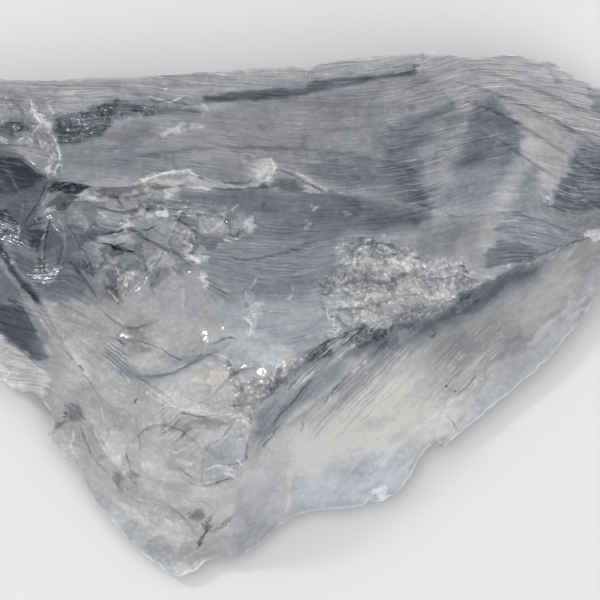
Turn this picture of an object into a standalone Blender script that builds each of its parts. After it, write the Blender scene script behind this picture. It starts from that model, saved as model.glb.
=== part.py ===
"""A cleaved fragment of petalite, lying on its flat cleavage face.

The stone is one solid. Its upper side is a set of conchoidal scars that meet in
crests and ledges. It is drawn as a surveyor draws ground: break lines, which are
the crests, ledges and scar rims with their heights, and a skin between them that
sags into every scar. Below the rim a broken wall of shallow scars runs in to one
flat cleavage plane, which the stone lies on. All lengths in the drawing are
millimetres, +X to the right, +Y away from the viewer and +Z up. The mesh is in
metres.
"""

import math

import bmesh
import bpy
import numpy as np
from mathutils import Vector, noise
from mathutils.bvhtree import BVHTree
from mathutils.geometry import delaunay_2d_cdt

MM = 0.001

# ---------------------------------------------------------------- driving dimensions

EDGE_THICKNESS = 0.5  # of the rim, between the upper scars and the wall below
TOP_SPACING = 1.16  # distance between the skin's points on the upper side
UNDER_SPACING = 3.4  # the same on the underside
RIM_SPACING = 1.3
SHARP_ANGLE = math.radians(22)  # faces that meet at more than this keep a crisp edge
TOP_HOLLOW = 0.034  # how strongly the upper scars sag, as a curvature per mm
WAVE_HEIGHT = 0.16  # slow swells that every broken face has
WAVE_LENGTH = 6.5
CHIP_DEPTH = 0.16  # small chips along the rim
CHIP_LENGTH = 1.7
CHIP_SEED = Vector((3.1, 7.7, 0.4))

# ------------------------------------------------------- the drawing: (x, y, height)

RIM = [
    # left end, going up
    (-37.5, -10.0, 4.6), (-38.5, -9.0, 4.5), (-40.2, -8.2, 4.4), (-40.9, -6.5, 4.4),
    (-42.2, -4.4, 4.6), (-42.9, -1.2, 4.9), (-42.5, 1.2, 5.1), (-43.8, 4.8, 5.4),
    (-44.4, 9.4, 5.8), (-44.1, 13.8, 6.2), (-44.6, 17.5, 6.6), (-43.5, 21.2, 7.2),
    (-42.2, 24.5, 7.7), (-40.6, 26.0, 8.0), (-38.5, 27.0, 8.3), (-37.5, 27.6, 8.4),
    # upper edge, going right
    (-33.8, 27.4, 8.8), (-30.0, 27.4, 9.0), (-25.0, 27.7, 9.1), (-20.0, 27.8, 9.3),
    (-15.0, 28.1, 9.4), (-10.0, 28.6, 9.5), (-5.0, 28.9, 9.6), (-0.2, 29.1, 9.6),
    (1.0, 28.7, 9.6), (2.0, 29.3, 9.6), (6.2, 30.0, 9.6), (11.2, 30.5, 9.6),
    (16.5, 30.8, 9.4), (18.8, 30.4, 9.2), (21.9, 30.2, 8.9), (24.4, 30.4, 8.5),
    (26.0, 30.6, 8.2), (28.8, 30.1, 7.8), (31.5, 29.8, 7.4), (32.8, 28.8, 7.2),
    (34.4, 27.8, 7.0), (36.2, 27.1, 6.8), (37.5, 26.4, 6.6),
    # right end, going down
    (38.9, 25.1, 6.3), (40.5, 23.4, 6.0), (41.4, 20.9, 5.7), (42.5, 18.8, 5.5),
    (42.6, 16.0, 5.3), (41.9, 13.8, 5.2), (42.1, 11.8, 5.0), (41.0, 9.0, 4.7),
    (39.9, 6.0, 4.3), (38.8, 3.2, 3.9), (37.5, 1.0, 3.6),
    # lower right edge, a thin one, with its two bitten corners
    (36.0, -1.5, 3.3), (34.0, -4.0, 3.1), (31.9, -6.5, 3.0), (29.8, -8.6, 2.9),
    (26.9, -11.1, 2.8), (25.0, -12.6, 2.8), (23.4, -13.9, 2.8), (22.2, -15.1, 2.8),
    (19.9, -16.8, 2.7), (18.1, -18.4, 2.6), (16.8, -18.1, 2.8), (15.8, -18.8, 2.8),
    (14.8, -20.1, 2.6), (14.0, -22.0, 2.5), (12.5, -23.8, 2.4), (10.5, -25.2, 2.3),
    (9.2, -25.4, 2.3), (8.6, -25.1, 2.4), (8.0, -25.9, 2.3), (5.0, -26.2, 2.3),
    (1.5, -26.5, 2.3), (-0.5, -27.0, 2.3), (-2.2, -28.1, 2.3), (-4.4, -30.0, 2.2),
    (-5.9, -31.1, 2.2), (-7.2, -31.9, 2.2), (-8.8, -32.6, 2.2), (-10.5, -32.4, 2.3),
    (-11.9, -32.9, 2.2), (-13.4, -34.1, 2.0),
    # the point, and the lower left edge up to the nick
    (-15.4, -34.8, 2.0), (-16.9, -34.1, 2.1), (-18.8, -32.6, 2.3), (-21.2, -30.6, 2.5),
    (-23.1, -28.4, 2.6), (-25.4, -25.5, 2.8), (-27.1, -22.8, 3.0), (-27.5, -21.1, 3.1),
    (-28.5, -20.1, 3.2), (-29.4, -20.0, 3.2), (-30.6, -18.4, 3.3), (-31.9, -16.8, 3.4),
    (-31.0, -16.2, 3.6), (-30.8, -15.5, 3.9), (-31.2, -14.1, 4.1), (-32.1, -12.6, 4.3),
    (-33.4, -11.6, 4.4), (-36.0, -11.1, 4.5), (-37.0, -10.2, 4.6),
]

TOP_LINES = {
    "bevel_crest": [
        (-40.8, 21.4, 9.0), (-37.5, 22.0, 10.0), (-34.4, 22.4, 10.5), (-30.6, 23.1, 10.9),
        (-26.9, 23.9, 11.1), (-24.6, 24.7, 11.2), (-22.5, 24.7, 11.4), (-18.8, 24.5, 11.6),
        (-15.6, 24.8, 11.6), (-11.9, 25.4, 11.4), (-6.2, 26.1, 11.2), (0.0, 26.9, 11.1),
        (6.2, 27.7, 11.0), (11.9, 28.5, 10.6), (14.8, 29.2, 9.9),
    ],
    "bevel_foot": [
        (-29.2, 21.6, 11.5), (-26.0, 22.5, 11.8), (-22.0, 23.3, 12.1), (-17.0, 23.5, 12.3),
        (-11.9, 24.3, 12.4), (-6.2, 24.8, 12.5), (0.0, 25.5, 12.4), (5.0, 26.4, 12.0),
        (10.0, 27.3, 11.5), (13.4, 28.1, 10.7),
    ],
    "blade_crest": [
        (-33.0, 21.2, 11.2), (-31.4, 20.2, 12.1), (-30.0, 18.6, 12.8), (-29.7, 16.8, 13.4),
    ],
    "blade_foot": [
        (-33.6, 20.5, 10.6), (-32.2, 19.5, 11.3), (-30.9, 18.2, 12.0), (-30.6, 16.8, 12.8),
    ],
    "ledge_crest": [
        (-31.0, 14.9, 13.9), (-27.5, 14.4, 14.4), (-23.8, 14.0, 14.8), (-20.2, 14.3, 15.1),
        (-17.5, 15.3, 15.3), (-13.8, 15.6, 15.5), (-11.2, 14.9, 15.6), (-8.1, 14.6, 15.6),
        (-5.5, 14.9, 15.5), (-3.8, 16.0, 15.1), (-1.2, 15.2, 15.1), (1.2, 14.2, 15.1),
        (5.0, 13.5, 15.0), (10.0, 12.7, 14.8), (15.0, 11.7, 14.1), (18.0, 10.7, 13.4),
    ],
    "ledge_foot": [
        (-30.4, 13.8, 13.0), (-27.2, 13.1, 13.1), (-23.8, 12.7, 13.2), (-20.2, 12.8, 13.4),
        (-16.9, 13.8, 13.5), (-13.1, 14.1, 13.7), (-9.4, 13.6, 13.9), (-5.0, 13.8, 14.0),
        (-1.2, 13.6, 14.1), (1.9, 12.9, 14.2), (5.6, 12.4, 14.3), (10.6, 11.6, 14.2),
        (15.6, 10.7, 13.8),
    ],
    "small_ledge_crest": [
        (-11.5, 8.2, 14.3), (-9.4, 8.2, 14.4), (-7.4, 8.5, 14.5), (-6.1, 9.8, 14.5),
        (-5.0, 11.2, 14.4),
    ],
    "small_ledge_foot": [
        (-11.3, 7.3, 13.9), (-9.2, 7.2, 13.8), (-6.6, 7.5, 13.7), (-5.2, 8.9, 13.8),
        (-4.1, 10.6, 13.9),
    ],
    "block_step_crest": [(-25.4, 8.8, 14.2), (-23.2, 8.6, 14.3), (-20.8, 9.3, 14.2)],
    "block_step_foot": [(-25.4, 7.9, 13.4), (-23.0, 7.7, 13.4), (-20.5, 8.5, 13.4)],
    "main_ridge": [
        (40.6, 8.9, 6.0), (37.5, 8.1, 8.2), (34.4, 7.4, 9.4), (30.6, 6.0, 10.5),
        (27.5, 4.4, 11.4), (24.6, 2.9, 12.2), (22.5, 1.5, 12.8), (18.4, -0.1, 13.9),
        (15.0, -1.0, 14.8), (11.9, -2.0, 15.6), (8.1, -3.2, 16.5), (5.0, -4.4, 17.2),
        (2.2, -5.6, 17.8), (0.4, -6.6, 18.2), (-1.2, -8.1, 18.5), (-3.1, -10.0, 18.7),
        (-4.8, -12.2, 18.5), (-5.6, -14.0, 18.0), (-6.2, -16.2, 17.1), (-6.8, -18.8, 15.8),
        (-7.5, -21.9, 13.6), (-8.1, -25.0, 10.8), (-8.8, -28.1, 7.4),
    ],
    "ridge_step": [
        (17.6, -1.4, 13.2), (13.1, -3.6, 14.2), (9.8, -5.8, 14.9), (6.2, -8.6, 15.3),
        (3.1, -11.6, 15.5), (0.0, -14.0, 15.5), (-3.0, -16.5, 14.8), (-5.0, -19.4, 13.2),
    ],
    "triangle_top": [(-41.0, 19.4, 9.2), (-37.5, 18.8, 11.2), (-34.0, 17.7, 12.2), (-31.6, 15.6, 13.6)],
    "triangle_foot": [(-42.2, 12.6, 7.8), (-37.5, 13.4, 10.6), (-34.4, 14.0, 11.8), (-32.0, 14.6, 13.2)],
    "tongue": [
        (-31.8, 13.6, 13.4), (-32.6, 11.8, 13.1), (-33.3, 10.0, 12.8), (-34.0, 7.9, 12.3),
        (-35.6, 6.6, 11.7), (-37.2, 7.6, 11.2),
    ],
    "leaf_right": [(-29.9, 8.4, 14.0), (-29.2, 5.6, 13.9), (-29.9, 3.3, 13.6), (-31.4, 1.4, 13.1)],
    "left_ridge": [
        (-42.4, 8.8, 7.6), (-39.6, 7.6, 9.6), (-37.3, 5.9, 10.8), (-36.0, 4.6, 11.4),
        (-34.4, 2.6, 12.0), (-31.9, -0.4, 12.8), (-30.0, -4.2, 13.2), (-28.5, -6.5, 13.0),
        (-27.1, -8.8, 12.6), (-25.4, -11.0, 12.2),
    ],
    "white_facet": [
        (-41.6, -1.4, 5.8), (-37.5, -4.4, 6.8), (-35.2, -6.4, 7.2), (-33.1, -8.1, 7.5),
        (-31.4, -9.6, 7.8),
    ],
    "cream_edge": [(-11.9, 3.0, 14.3), (-11.5, 0.2, 14.9), (-10.9, -2.3, 15.5), (-10.0, -3.9, 16.0)],
    "arch": [
        (-20.0, -5.2, 15.5), (-17.5, -5.9, 15.8), (-15.0, -7.2, 16.0), (-13.0, -6.5, 16.3),
        (-11.2, -5.3, 16.5), (-9.4, -4.7, 16.7), (-7.5, -4.9, 17.0), (-4.8, -5.6, 17.4),
        (-2.2, -7.0, 17.9),
    ],
    "bowl_rim": [
        (-19.4, -10.2, 15.6), (-17.5, -11.9, 15.7), (-15.0, -13.6, 15.7), (-11.9, -14.3, 15.8),
        (-9.4, -13.9, 16.2), (-7.3, -12.6, 17.0),
    ],
    "hackle_step": [(-13.4, -15.4, 14.9), (-11.2, -15.6, 14.8), (-8.8, -15.4, 15.4)],
    "gully": [
        (-28.0, -14.6, 7.4), (-26.9, -17.5, 7.6), (-25.6, -19.8, 7.8), (-24.0, -21.5, 7.8),
        (-22.2, -23.4, 7.4),
    ],
    "gully_bank": [
        (-26.6, -13.6, 9.6), (-25.6, -16.8, 10.0), (-24.3, -19.0, 10.2), (-22.8, -20.8, 10.0),
        (-21.2, -22.8, 9.2),
    ],
    "shelf_crest": [(-15.6, -20.0, 12.8), (-13.0, -22.0, 12.4), (-11.4, -22.3, 12.6), (-9.0, -21.5, 13.6)],
    "shelf_foot": [(-15.9, -21.2, 11.8), (-13.0, -23.2, 11.0), (-11.2, -23.4, 11.2), (-8.9, -22.7, 12.2)],
}

# Small steps, as (drop, points in plan). Each lies on the skin that the lines above make, and
# the stone is lower by the drop on the right of the line as it is drawn. They fade out at the ends.
SMALL_STEPS = {
    "hackle_1": (0.40, [(19.6, 29.2), (25.0, 27.9), (30.6, 25.8), (37.2, 23.0), (39.6, 21.2)]),
    "hackle_2": (0.45, [(18.4, 27.4), (23.8, 26.0), (30.0, 23.4), (36.4, 19.9), (40.2, 17.2)]),
    "hackle_3": (0.45, [(19.2, 25.2), (24.6, 23.4), (29.6, 20.6), (35.4, 16.9), (39.8, 13.6)]),
    "hackle_4": (0.40, [(23.4, 20.9), (28.4, 17.6), (34.0, 13.8), (38.0, 10.6)]),
    "hackle_5": (0.40, [(24.6, 11.4), (28.8, 10.2), (32.6, 8.4)]),
    "long_wave": (-0.30, [(-22.0, 17.4), (-12.5, 18.8), (0.0, 18.7), (9.0, 17.4), (17.0, 15.4)]),
    "terrace_1": (-0.55, [(20.6, -1.8), (16.0, -3.7), (11.4, -6.6), (7.6, -10.0), (4.6, -13.4)]),
    "terrace_2": (-0.60, [(3.6, -7.6), (1.4, -9.8), (-0.6, -12.2), (-2.8, -14.6), (-4.4, -17.2)]),
    "sugar_1": (0.50, [(5.4, 5.6), (8.1, 7.0), (11.2, 6.8), (13.8, 5.4), (16.6, 5.2)]),
    "sugar_2": (0.55, [(3.8, 1.2), (6.9, 2.5), (10.6, 2.1), (13.1, 3.2), (17.5, 2.6), (20.8, 3.6)]),
    "sugar_3": (0.50, [(0.8, -3.0), (4.4, -1.2), (7.5, -1.0), (10.8, 0.0), (14.6, 0.6)]),
    "under_arch": (0.45, [(-22.2, -8.6), (-18.8, -9.5), (-15.6, -8.9), (-12.4, -7.3), (-10.2, -6.2)]),
    "cup_2": (0.55, [(-21.4, -18.4), (-19.0, -15.9), (-15.8, -15.7), (-13.0, -17.6)]),
    "cup_3": (0.55, [(-20.6, -24.6), (-17.4, -25.2), (-14.4, -27.4), (-12.6, -30.4)]),
    "cup_4": (0.50, [(-10.8, -12.0), (-9.4, -10.2), (-7.6, -8.8), (-5.4, -8.4)]),
    "cup_5": (0.45, [(-24.0, -1.8), (-21.4, -3.4), (-18.8, -3.0), (-16.6, -1.8)]),
    "spur_rib": (-0.5, [(-28.6, -15.4), (-28.9, -17.4), (-28.4, -19.2)]),
    "tip_line": (0.4, [(-11.4, -29.6), (-9.6, -28.2), (-8.0, -26.6)]),
    "lower_hackle": (0.4, [(-17.0, -13.9), (-16.6, -15.6), (-17.2, -17.4)]),
    "plate_1": (0.60, [(-25.0, 7.0), (-22.0, 6.4), (-20.0, 5.4)]),
    "plate_2": (0.60, [(-21.0, 8.8), (-18.8, 7.4), (-16.6, 6.4), (-14.6, 5.2)]),
    "plate_4": (0.50, [(-17.8, 10.4), (-14.6, 9.6), (-12.8, 8.0)]),
    "left_facet": (-0.45, [(-28.6, 5.0), (-26.8, 2.6), (-25.4, 0.4)]),
    "plate_3": (0.55, [(-25.0, 11.4), (-21.9, 10.9), (-18.8, 11.6), (-15.4, 10.6)]),
    "wisp": (0.35, [(-7.0, 1.6), (-6.6, -0.8), (-5.4, -3.2)]),
    "vee_facet": (-0.55, [(-24.2, 1.9), (-22.5, -0.4), (-21.4, 2.1)]),
    "vee_crest": (0.45, [(-16.6, 6.0), (-18.8, 3.4), (-20.4, 1.0)]),
    "plume": (0.35, [(-10.6, 5.2), (-5.0, 5.2), (0.4, 6.6), (3.8, 8.0)]),
    "frost_1": (0.55, [(-36.4, 25.2), (-34.6, 23.6), (-34.4, 21.8)]),
    "window_1": (0.60, [(-41.0, 2.0), (-37.4, 0.6), (-34.6, -1.2), (-33.0, -4.2)]),
    "leaf_rib": (-0.45, [(-36.2, 15.8), (-34.4, 12.0), (-35.0, 9.2)]),
}
STEP_WIDTH = 0.4

# Slow swells and hollows, as (x, y, radius, height).
SWELLS = [
    (-35.8, 10.6, 2.6, -0.7), (-30.9, 5.0, 1.8, -0.5), (2.0, 20.6, 7.0, -0.6),
    (24.2, 18.8, 4.5, -0.8), (18.6, 18.0, 2.4, 0.35), (36.6, 13.6, 3.5, -0.6),
    (0.6, -18.0, 4.5, 0.8), (10.5, -14.0, 5.0, 0.5), (22.0, -6.5, 4.5, -0.5),
    (-22.6, -15.6, 3.2, -0.9), (-14.2, -27.0, 2.8, -0.7), (-13.2, -9.6, 2.6, -0.7),
    (-3.0, -1.6, 3.6, -0.5), (-16.6, 0.6, 3.4, -0.5), (-25.8, -4.6, 2.6, 0.5),
]

# How far the foot of the broken wall lies inside the rim, by its direction from the middle.
FOOT_DIRECTIONS = [-150, -115, -90, -60, -30, 0, 30, 60, 120, 150, 180]
FOOT_INSETS = [3.4, 5.0, 5.4, 5.4, 4.8, 3.8, 3.0, 1.9, 1.7, 2.4, 3.2]
FOOT_SOFTNESS = 3.0  # the foot follows the rim's run over this length, not its small bites
WALL_ROWS = 4
WALL_SCAR_DEPTH = 1.1
WALL_SCAR_LENGTH = 8.0
WALL_SCAR_SEED = Vector((5.7, 1.3, 2.9))

# The edge of a thin layer that is gone from the cleavage plane.
LAYER_STEP = [
    (11.0, 20.0), (17.0, 21.6), (25.6, 19.8), (31.0, 13.4), (27.4, 5.2), (20.8, 1.8),
    (13.4, 4.4), (14.6, 11.6),
]
LAYER_DEPTH = 0.9
LAYER_SLOPE = 0.8  # the width of the layer's broken edge

PETALITE_COLOUR = (0.70, 0.73, 0.77, 1.0)
PETALITE_ROUGHNESS = 0.16
PETALITE_IOR = 1.51
PETALITE_TRANSMISSION = 0.85


# ----------------------------------------------------------------------- plane tools


def spline(points, spacing, closed=False):
    """A Catmull-Rom curve through the points, as an array of points about spacing apart."""
    points = np.array(points, float)
    if closed:
        padded = np.vstack([points[-1:], points, points[:2]])
    else:
        padded = np.vstack([2 * points[0] - points[1], points, 2 * points[-1] - points[-2]])
    made = []
    for before, start, end, after in zip(padded, padded[1:], padded[2:], padded[3:]):
        steps = max(1, round(np.linalg.norm(end[:2] - start[:2]) / spacing))
        for t in np.arange(steps) / steps:
            made.append(
                0.5
                * (
                    2 * start
                    + (end - before) * t
                    + (2 * before - 5 * start + 4 * end - after) * t**2
                    + (3 * start - before - 3 * end + after) * t**3
                )
            )
    if not closed:
        made.append(points[-1])
    return np.array(made)


def straight(points, spacing):
    """A closed run of straight stretches through the points, with points about spacing apart."""
    made = []
    for start, end in zip(np.array(points), np.roll(points, -1, axis=0)):
        steps = max(1, round(np.linalg.norm(end[:2] - start[:2]) / spacing))
        made += [start + (end - start) * step / steps for step in range(steps)]
    return np.array(made)


def chipped(rim):
    """The rim with small chips: its points moved in and out by noise, across the rim's own direction."""
    depth = [noise.noise(Vector(point) / CHIP_LENGTH + CHIP_SEED) * CHIP_DEPTH for point in rim]
    moved = rim.copy()
    moved[:, :2] += inwards(rim) * np.array(depth)[:, None]
    return moved


def inside(points, outline):
    """Which of the points lie inside the outline, by counting the outline's crossings to their right."""
    found = np.zeros(len(points), bool)
    for (ax, ay), (bx, by) in zip(outline, np.roll(outline, -1, axis=0)):
        if ay == by:
            continue
        spans = (points[:, 1] < ay) != (points[:, 1] < by)
        found ^= spans & (points[:, 0] < ax + (points[:, 1] - ay) * (bx - ax) / (by - ay))
    return found


def scattered(outline, taken, spacing, clearance):
    """Points of a triangular grid inside the outline, no nearer than clearance to a point that is taken."""
    low, high = outline.min(axis=0), outline.max(axis=0)
    rows = np.arange(low[1], high[1], spacing * math.sqrt(3) / 2)
    grid = np.array(
        [
            (x + spacing / 2 * (row % 2), y)
            for row, y in enumerate(rows)
            for x in np.arange(low[0], high[0], spacing)
        ]
    )
    grid = grid[inside(grid, outline)]
    gaps = np.linalg.norm(grid[:, None] - taken[None, :, :2], axis=2).min(axis=1)
    return grid[gaps > clearance]


# ------------------------------------------------------------------------- the skins


def skin(rim, lines, spacing, hollow):
    """One side of the stone, as (points, triangles).

    The rim and the break lines keep their heights. Every other point takes the mean height of its
    neighbours less a little, so that the skin sags between the lines as a scar does.
    """
    loop = len(rim)
    points, edges = list(rim), [(i, (i + 1) % loop) for i in range(loop)]
    for line in lines:
        first = len(points)
        points += list(line)
        edges += [(first + i, first + i + 1) for i in range(len(line) - 1)]
    points = np.array(points)
    free = scattered(rim[:, :2], points, spacing, 0.62 * spacing)
    flat = [Vector(p[:2]) for p in points] + [Vector(p) for p in free]
    drawn, _, faces, sources, _, _ = delaunay_2d_cdt(flat, edges, [list(range(loop))], 1, 1e-5)
    place = np.array([p[:] for p in drawn])
    fixed = np.array([bool(s) and min(s) < len(points) for s in sources])
    height = np.array([points[min(s), 2] if f else 0.0 for s, f in zip(sources, fixed)])
    height = sagged(place, faces, fixed, height, hollow)
    order = np.argsort([min(s) if s else len(flat) + i for i, s in enumerate(sources)])
    rank = np.empty(len(order), int)
    rank[order] = np.arange(len(order))
    return np.column_stack([place, height])[order], rank[np.array(faces)]


def sagged(place, faces, fixed, height, hollow):
    """The heights of a net whose free points balance their neighbours, less the hollow of a scar."""
    count = len(place)
    tied = np.zeros((count, count), bool)
    for a, b, c in faces:
        tied[[a, b, c], [b, c, a]] = True
        tied[[b, c, a], [a, b, c]] = True
    balance = tied / tied.sum(axis=1, keepdims=True) - np.eye(count)
    reach = (tied * np.linalg.norm(place[:, None] - place[None], axis=2) ** 2).sum(1) / tied.sum(1)
    pull = hollow * reach / 4
    loose = ~fixed
    found = height.copy()
    found[loose] = np.linalg.solve(
        balance[np.ix_(loose, loose)], pull[loose] - balance[np.ix_(loose, fixed)] @ height[fixed]
    )
    return found


def small_steps(points, faces):
    """The small steps as pairs of break lines, a crest and its foot, laid on a skin."""
    ground = BVHTree.FromPolygons([Vector(p) for p in points], faces.tolist())
    lines = []
    for drop, drawn in SMALL_STEPS.values():
        line = spline([(x, y, 0.0) for x, y in drawn], TOP_SPACING)
        along = np.gradient(line, axis=0)
        along /= np.linalg.norm(along, axis=1, keepdims=True)
        right = np.column_stack([along[:, 1], -along[:, 0], np.zeros(len(line))])
        fade = np.sin(np.linspace(0.12, math.pi - 0.12, len(line))) ** 0.6
        for side in (-0.5, 0.5):
            edge = line + right * side * STEP_WIDTH
            for place, share in zip(edge, fade):
                hit = ground.ray_cast(Vector((place[0], place[1], 100.0)), Vector((0, 0, -1)))[0]
                place[2] = hit.z - side * drop * share
            lines.append(edge)
    return lines


def swelling(points):
    """The slow swells at these points: the drawn ones, and the waves that every broken face has."""
    rise = np.array([noise.noise(Vector((x, y, 0.0)) / WAVE_LENGTH) for x, y, _ in points]) * WAVE_HEIGHT
    for x, y, radius, height in SWELLS:
        away = (points[:, 0] - x) ** 2 + (points[:, 1] - y) ** 2
        rise += height * np.exp(-away / (2 * radius**2))
    return rise


def upper_side(rim):
    """The scarred upper side: its main form first, then the small steps that lie on it."""
    lines = [spline(line, TOP_SPACING) for line in TOP_LINES.values()]
    points, faces = skin(rim, lines, TOP_SPACING, TOP_HOLLOW)
    points, faces = skin(rim, lines + small_steps(points, faces), TOP_SPACING, TOP_HOLLOW)
    inner = np.arange(len(points)) >= len(rim)
    points[inner, 2] += swelling(points[inner])
    return points, faces


def under_side(rim):
    """The broken wall below the rim, as rows of points, and the cleavage plane at height 0."""
    upper = rim - np.array([0.0, 0.0, EDGE_THICKNESS])
    foot = foot_of(rim)
    rows = [upper]
    for level in np.arange(1, WALL_ROWS) / WALL_ROWS:
        row = upper + (foot - upper) * level
        row[:, :2] += inwards(foot) * (scar_depth(row) * math.sin(math.pi * level))[:, None]
        rows.append(row)
    layer = np.column_stack([LAYER_STEP, np.full(len(LAYER_STEP), LAYER_DEPTH)])
    upper_layer = spline(layer, UNDER_SPACING, closed=True)
    upper_layer = np.vstack([upper_layer, upper_layer[:1]])
    lines = [upper_layer, grown(upper_layer, LAYER_SLOPE, 0.0)]
    plane, faces = skin(foot, lines, UNDER_SPACING, 0.0)
    return rows, plane, faces[:, ::-1]


def foot_of(rim):
    """Where the wall meets the cleavage plane: the rim's run, smoothed and pushed inwards."""
    reach = round(3 * FOOT_SOFTNESS / RIM_SPACING)
    shifts = np.arange(-reach, reach + 1)
    weights = np.exp(-((shifts * RIM_SPACING / FOOT_SOFTNESS) ** 2) / 2)
    smooth = sum(w * np.roll(rim, shift, axis=0) for w, shift in zip(weights / weights.sum(), shifts))
    direction = np.degrees(np.arctan2(smooth[:, 1], smooth[:, 0]))
    inset = np.interp(direction, FOOT_DIRECTIONS, FOOT_INSETS, period=360)
    foot = smooth.copy()
    foot[:, :2] += inwards(smooth) * inset[:, None]
    foot[:, 2] = 0.0
    return foot


def inwards(loop):
    """The unit directions, in plan, that point into a loop that runs clockwise."""
    along = np.roll(loop, -1, axis=0) - np.roll(loop, 1, axis=0)
    across = np.column_stack([along[:, 1], -along[:, 0]])
    return across / np.linalg.norm(across, axis=1, keepdims=True)


def scar_depth(row):
    """How deep the wall's scars are at these points. They meet in crests, where the depth is 0."""
    return np.array(
        [abs(noise.noise(Vector(point) / WALL_SCAR_LENGTH + WALL_SCAR_SEED)) for point in row]
    ) * (2 * WALL_SCAR_DEPTH)


def grown(loop, distance, height):
    """A closed line pushed outwards by a distance, at a height of its own."""
    along = np.roll(loop[:-1], -1, axis=0) - np.roll(loop[:-1], 1, axis=0)
    outwards = np.column_stack([-along[:, 1], along[:, 0]])
    outwards /= np.linalg.norm(outwards, axis=1, keepdims=True)
    moved = loop[:-1].copy()
    moved[:, :2] += outwards * distance
    moved[:, 2] = height
    return np.vstack([moved, moved[:1]])


# --------------------------------------------------------------------------- the part


def petalite_material():
    """Clear to milky petalite, with the index of refraction of the mineral."""
    material = bpy.data.materials.new("petalite")
    material.use_nodes = True
    shader = material.node_tree.nodes["Principled BSDF"]
    shader.inputs["Base Color"].default_value = PETALITE_COLOUR
    shader.inputs["Roughness"].default_value = PETALITE_ROUGHNESS
    shader.inputs["Metallic"].default_value = 0.0
    shader.inputs["IOR"].default_value = PETALITE_IOR
    shader.inputs["Transmission Weight"].default_value = PETALITE_TRANSMISSION
    material.diffuse_color = PETALITE_COLOUR
    return material


def stone():
    """The fragment: its scarred upper side, its wall and its cleavage plane, as one closed body."""
    rim = chipped(straight(RIM, RIM_SPACING))
    top, top_faces = upper_side(rim)
    rows, plane, plane_faces = under_side(rim)
    points = np.vstack([top, *rows, plane])
    middle = (points.min(axis=0) + points.max(axis=0)) / 2
    points[:, :2] -= middle[:2]
    body = bmesh.new()
    vertices = [body.verts.new(p * MM) for p in points]
    plane_start = len(top) + WALL_ROWS * len(rim)
    for corners in np.vstack([top_faces, plane_faces + plane_start]):
        body.faces.new([vertices[corner] for corner in corners])
    starts = [0] + [len(top) + row * len(rim) for row in range(WALL_ROWS)] + [plane_start]
    for above, below in zip(starts, starts[1:]):
        for i in range(len(rim)):
            after = (i + 1) % len(rim)
            ring = (above + i, above + after, below + after, below + i)
            body.faces.new([vertices[corner] for corner in ring])
    bmesh.ops.recalc_face_normals(body, faces=body.faces)
    bmesh.ops.triangulate(body, faces=body.faces)
    mesh = bpy.data.meshes.new("petalite_fragment")
    body.to_mesh(mesh)
    body.free()
    mesh.materials.append(petalite_material())
    mesh.shade_smooth()
    mesh.set_sharp_from_angle(angle=SHARP_ANGLE)
    fragment = bpy.data.objects.new("petalite_fragment", mesh)
    bpy.context.scene.collection.objects.link(fragment)
    return fragment


def main():
    for thing in list(bpy.data.objects):
        bpy.data.objects.remove(thing)
    stone()


main()
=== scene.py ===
"""The finish and the fine relief of a cleaved petalite fragment, in a plain studio.

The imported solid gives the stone's form. Its place in the scene is taken by one piece, a copy of the
solid's mesh that is cut finer, smoothed inside each scar and carved with the hackles, steps, cracks
and sugary places that a broken face of petalite has.

Places on the stone are drawn on a plan of it, seen from above. The plan's unit is an eighth of a
millimetre, its x runs right from the left edge, and its y runs down from the top edge. The corners
of an outline or a path are written in one row: x, y, x, y and so on.
"""

import logging
import math
from contextlib import contextmanager
from dataclasses import dataclass, field
from enum import Enum
from typing import ClassVar, Iterable, Iterator, Sequence

import bpy
import numpy as np
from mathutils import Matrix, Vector, noise


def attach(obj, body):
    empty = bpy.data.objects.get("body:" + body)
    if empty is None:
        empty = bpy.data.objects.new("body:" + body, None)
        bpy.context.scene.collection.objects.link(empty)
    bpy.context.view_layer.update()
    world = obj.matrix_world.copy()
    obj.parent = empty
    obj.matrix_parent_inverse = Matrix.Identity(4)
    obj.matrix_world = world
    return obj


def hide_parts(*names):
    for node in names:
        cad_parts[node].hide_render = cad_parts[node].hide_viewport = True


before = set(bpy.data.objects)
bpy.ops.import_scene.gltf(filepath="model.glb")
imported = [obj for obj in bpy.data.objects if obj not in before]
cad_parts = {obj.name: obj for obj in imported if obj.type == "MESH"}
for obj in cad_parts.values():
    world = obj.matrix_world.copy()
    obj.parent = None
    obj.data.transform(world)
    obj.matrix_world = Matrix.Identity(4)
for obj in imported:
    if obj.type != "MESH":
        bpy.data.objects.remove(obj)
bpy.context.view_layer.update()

log = logging.getLogger("petalite")

NODE = "petalite_fragment"
MM = 0.001
PLAN_UNIT = 0.125  # in mm
PLAN_ORIGIN = np.array([292.35, 315.88])  # the plan's point over the frame's origin
FLAT_TOP = 0.02  # in mm: what is lower than this is the flat underside
WALL_GRAIN = np.array([[0.5, 0.3], [0.4, -0.4], [-0.4, 0.8]])  # turns a point into the wall's grain
PLATE_SEED = 37.0  # spreads the middles of small plates, so that each draws its own level
BARE = {"tone": 0.5, "frost": 0.0, "warmth": 0.0, "sugar": 0.0, "hackle": 0.29}  # where nothing is drawn
# A step's tone is the painted light on its lip and the painted shade at its foot.
THIN = ("seam_gap", "seam_tone", "step_gap", "step_tone")  # the thin marks' distances and tones

Triple = tuple[float, float, float]


# ------------------------------------------------------------------------ plan measures


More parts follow.
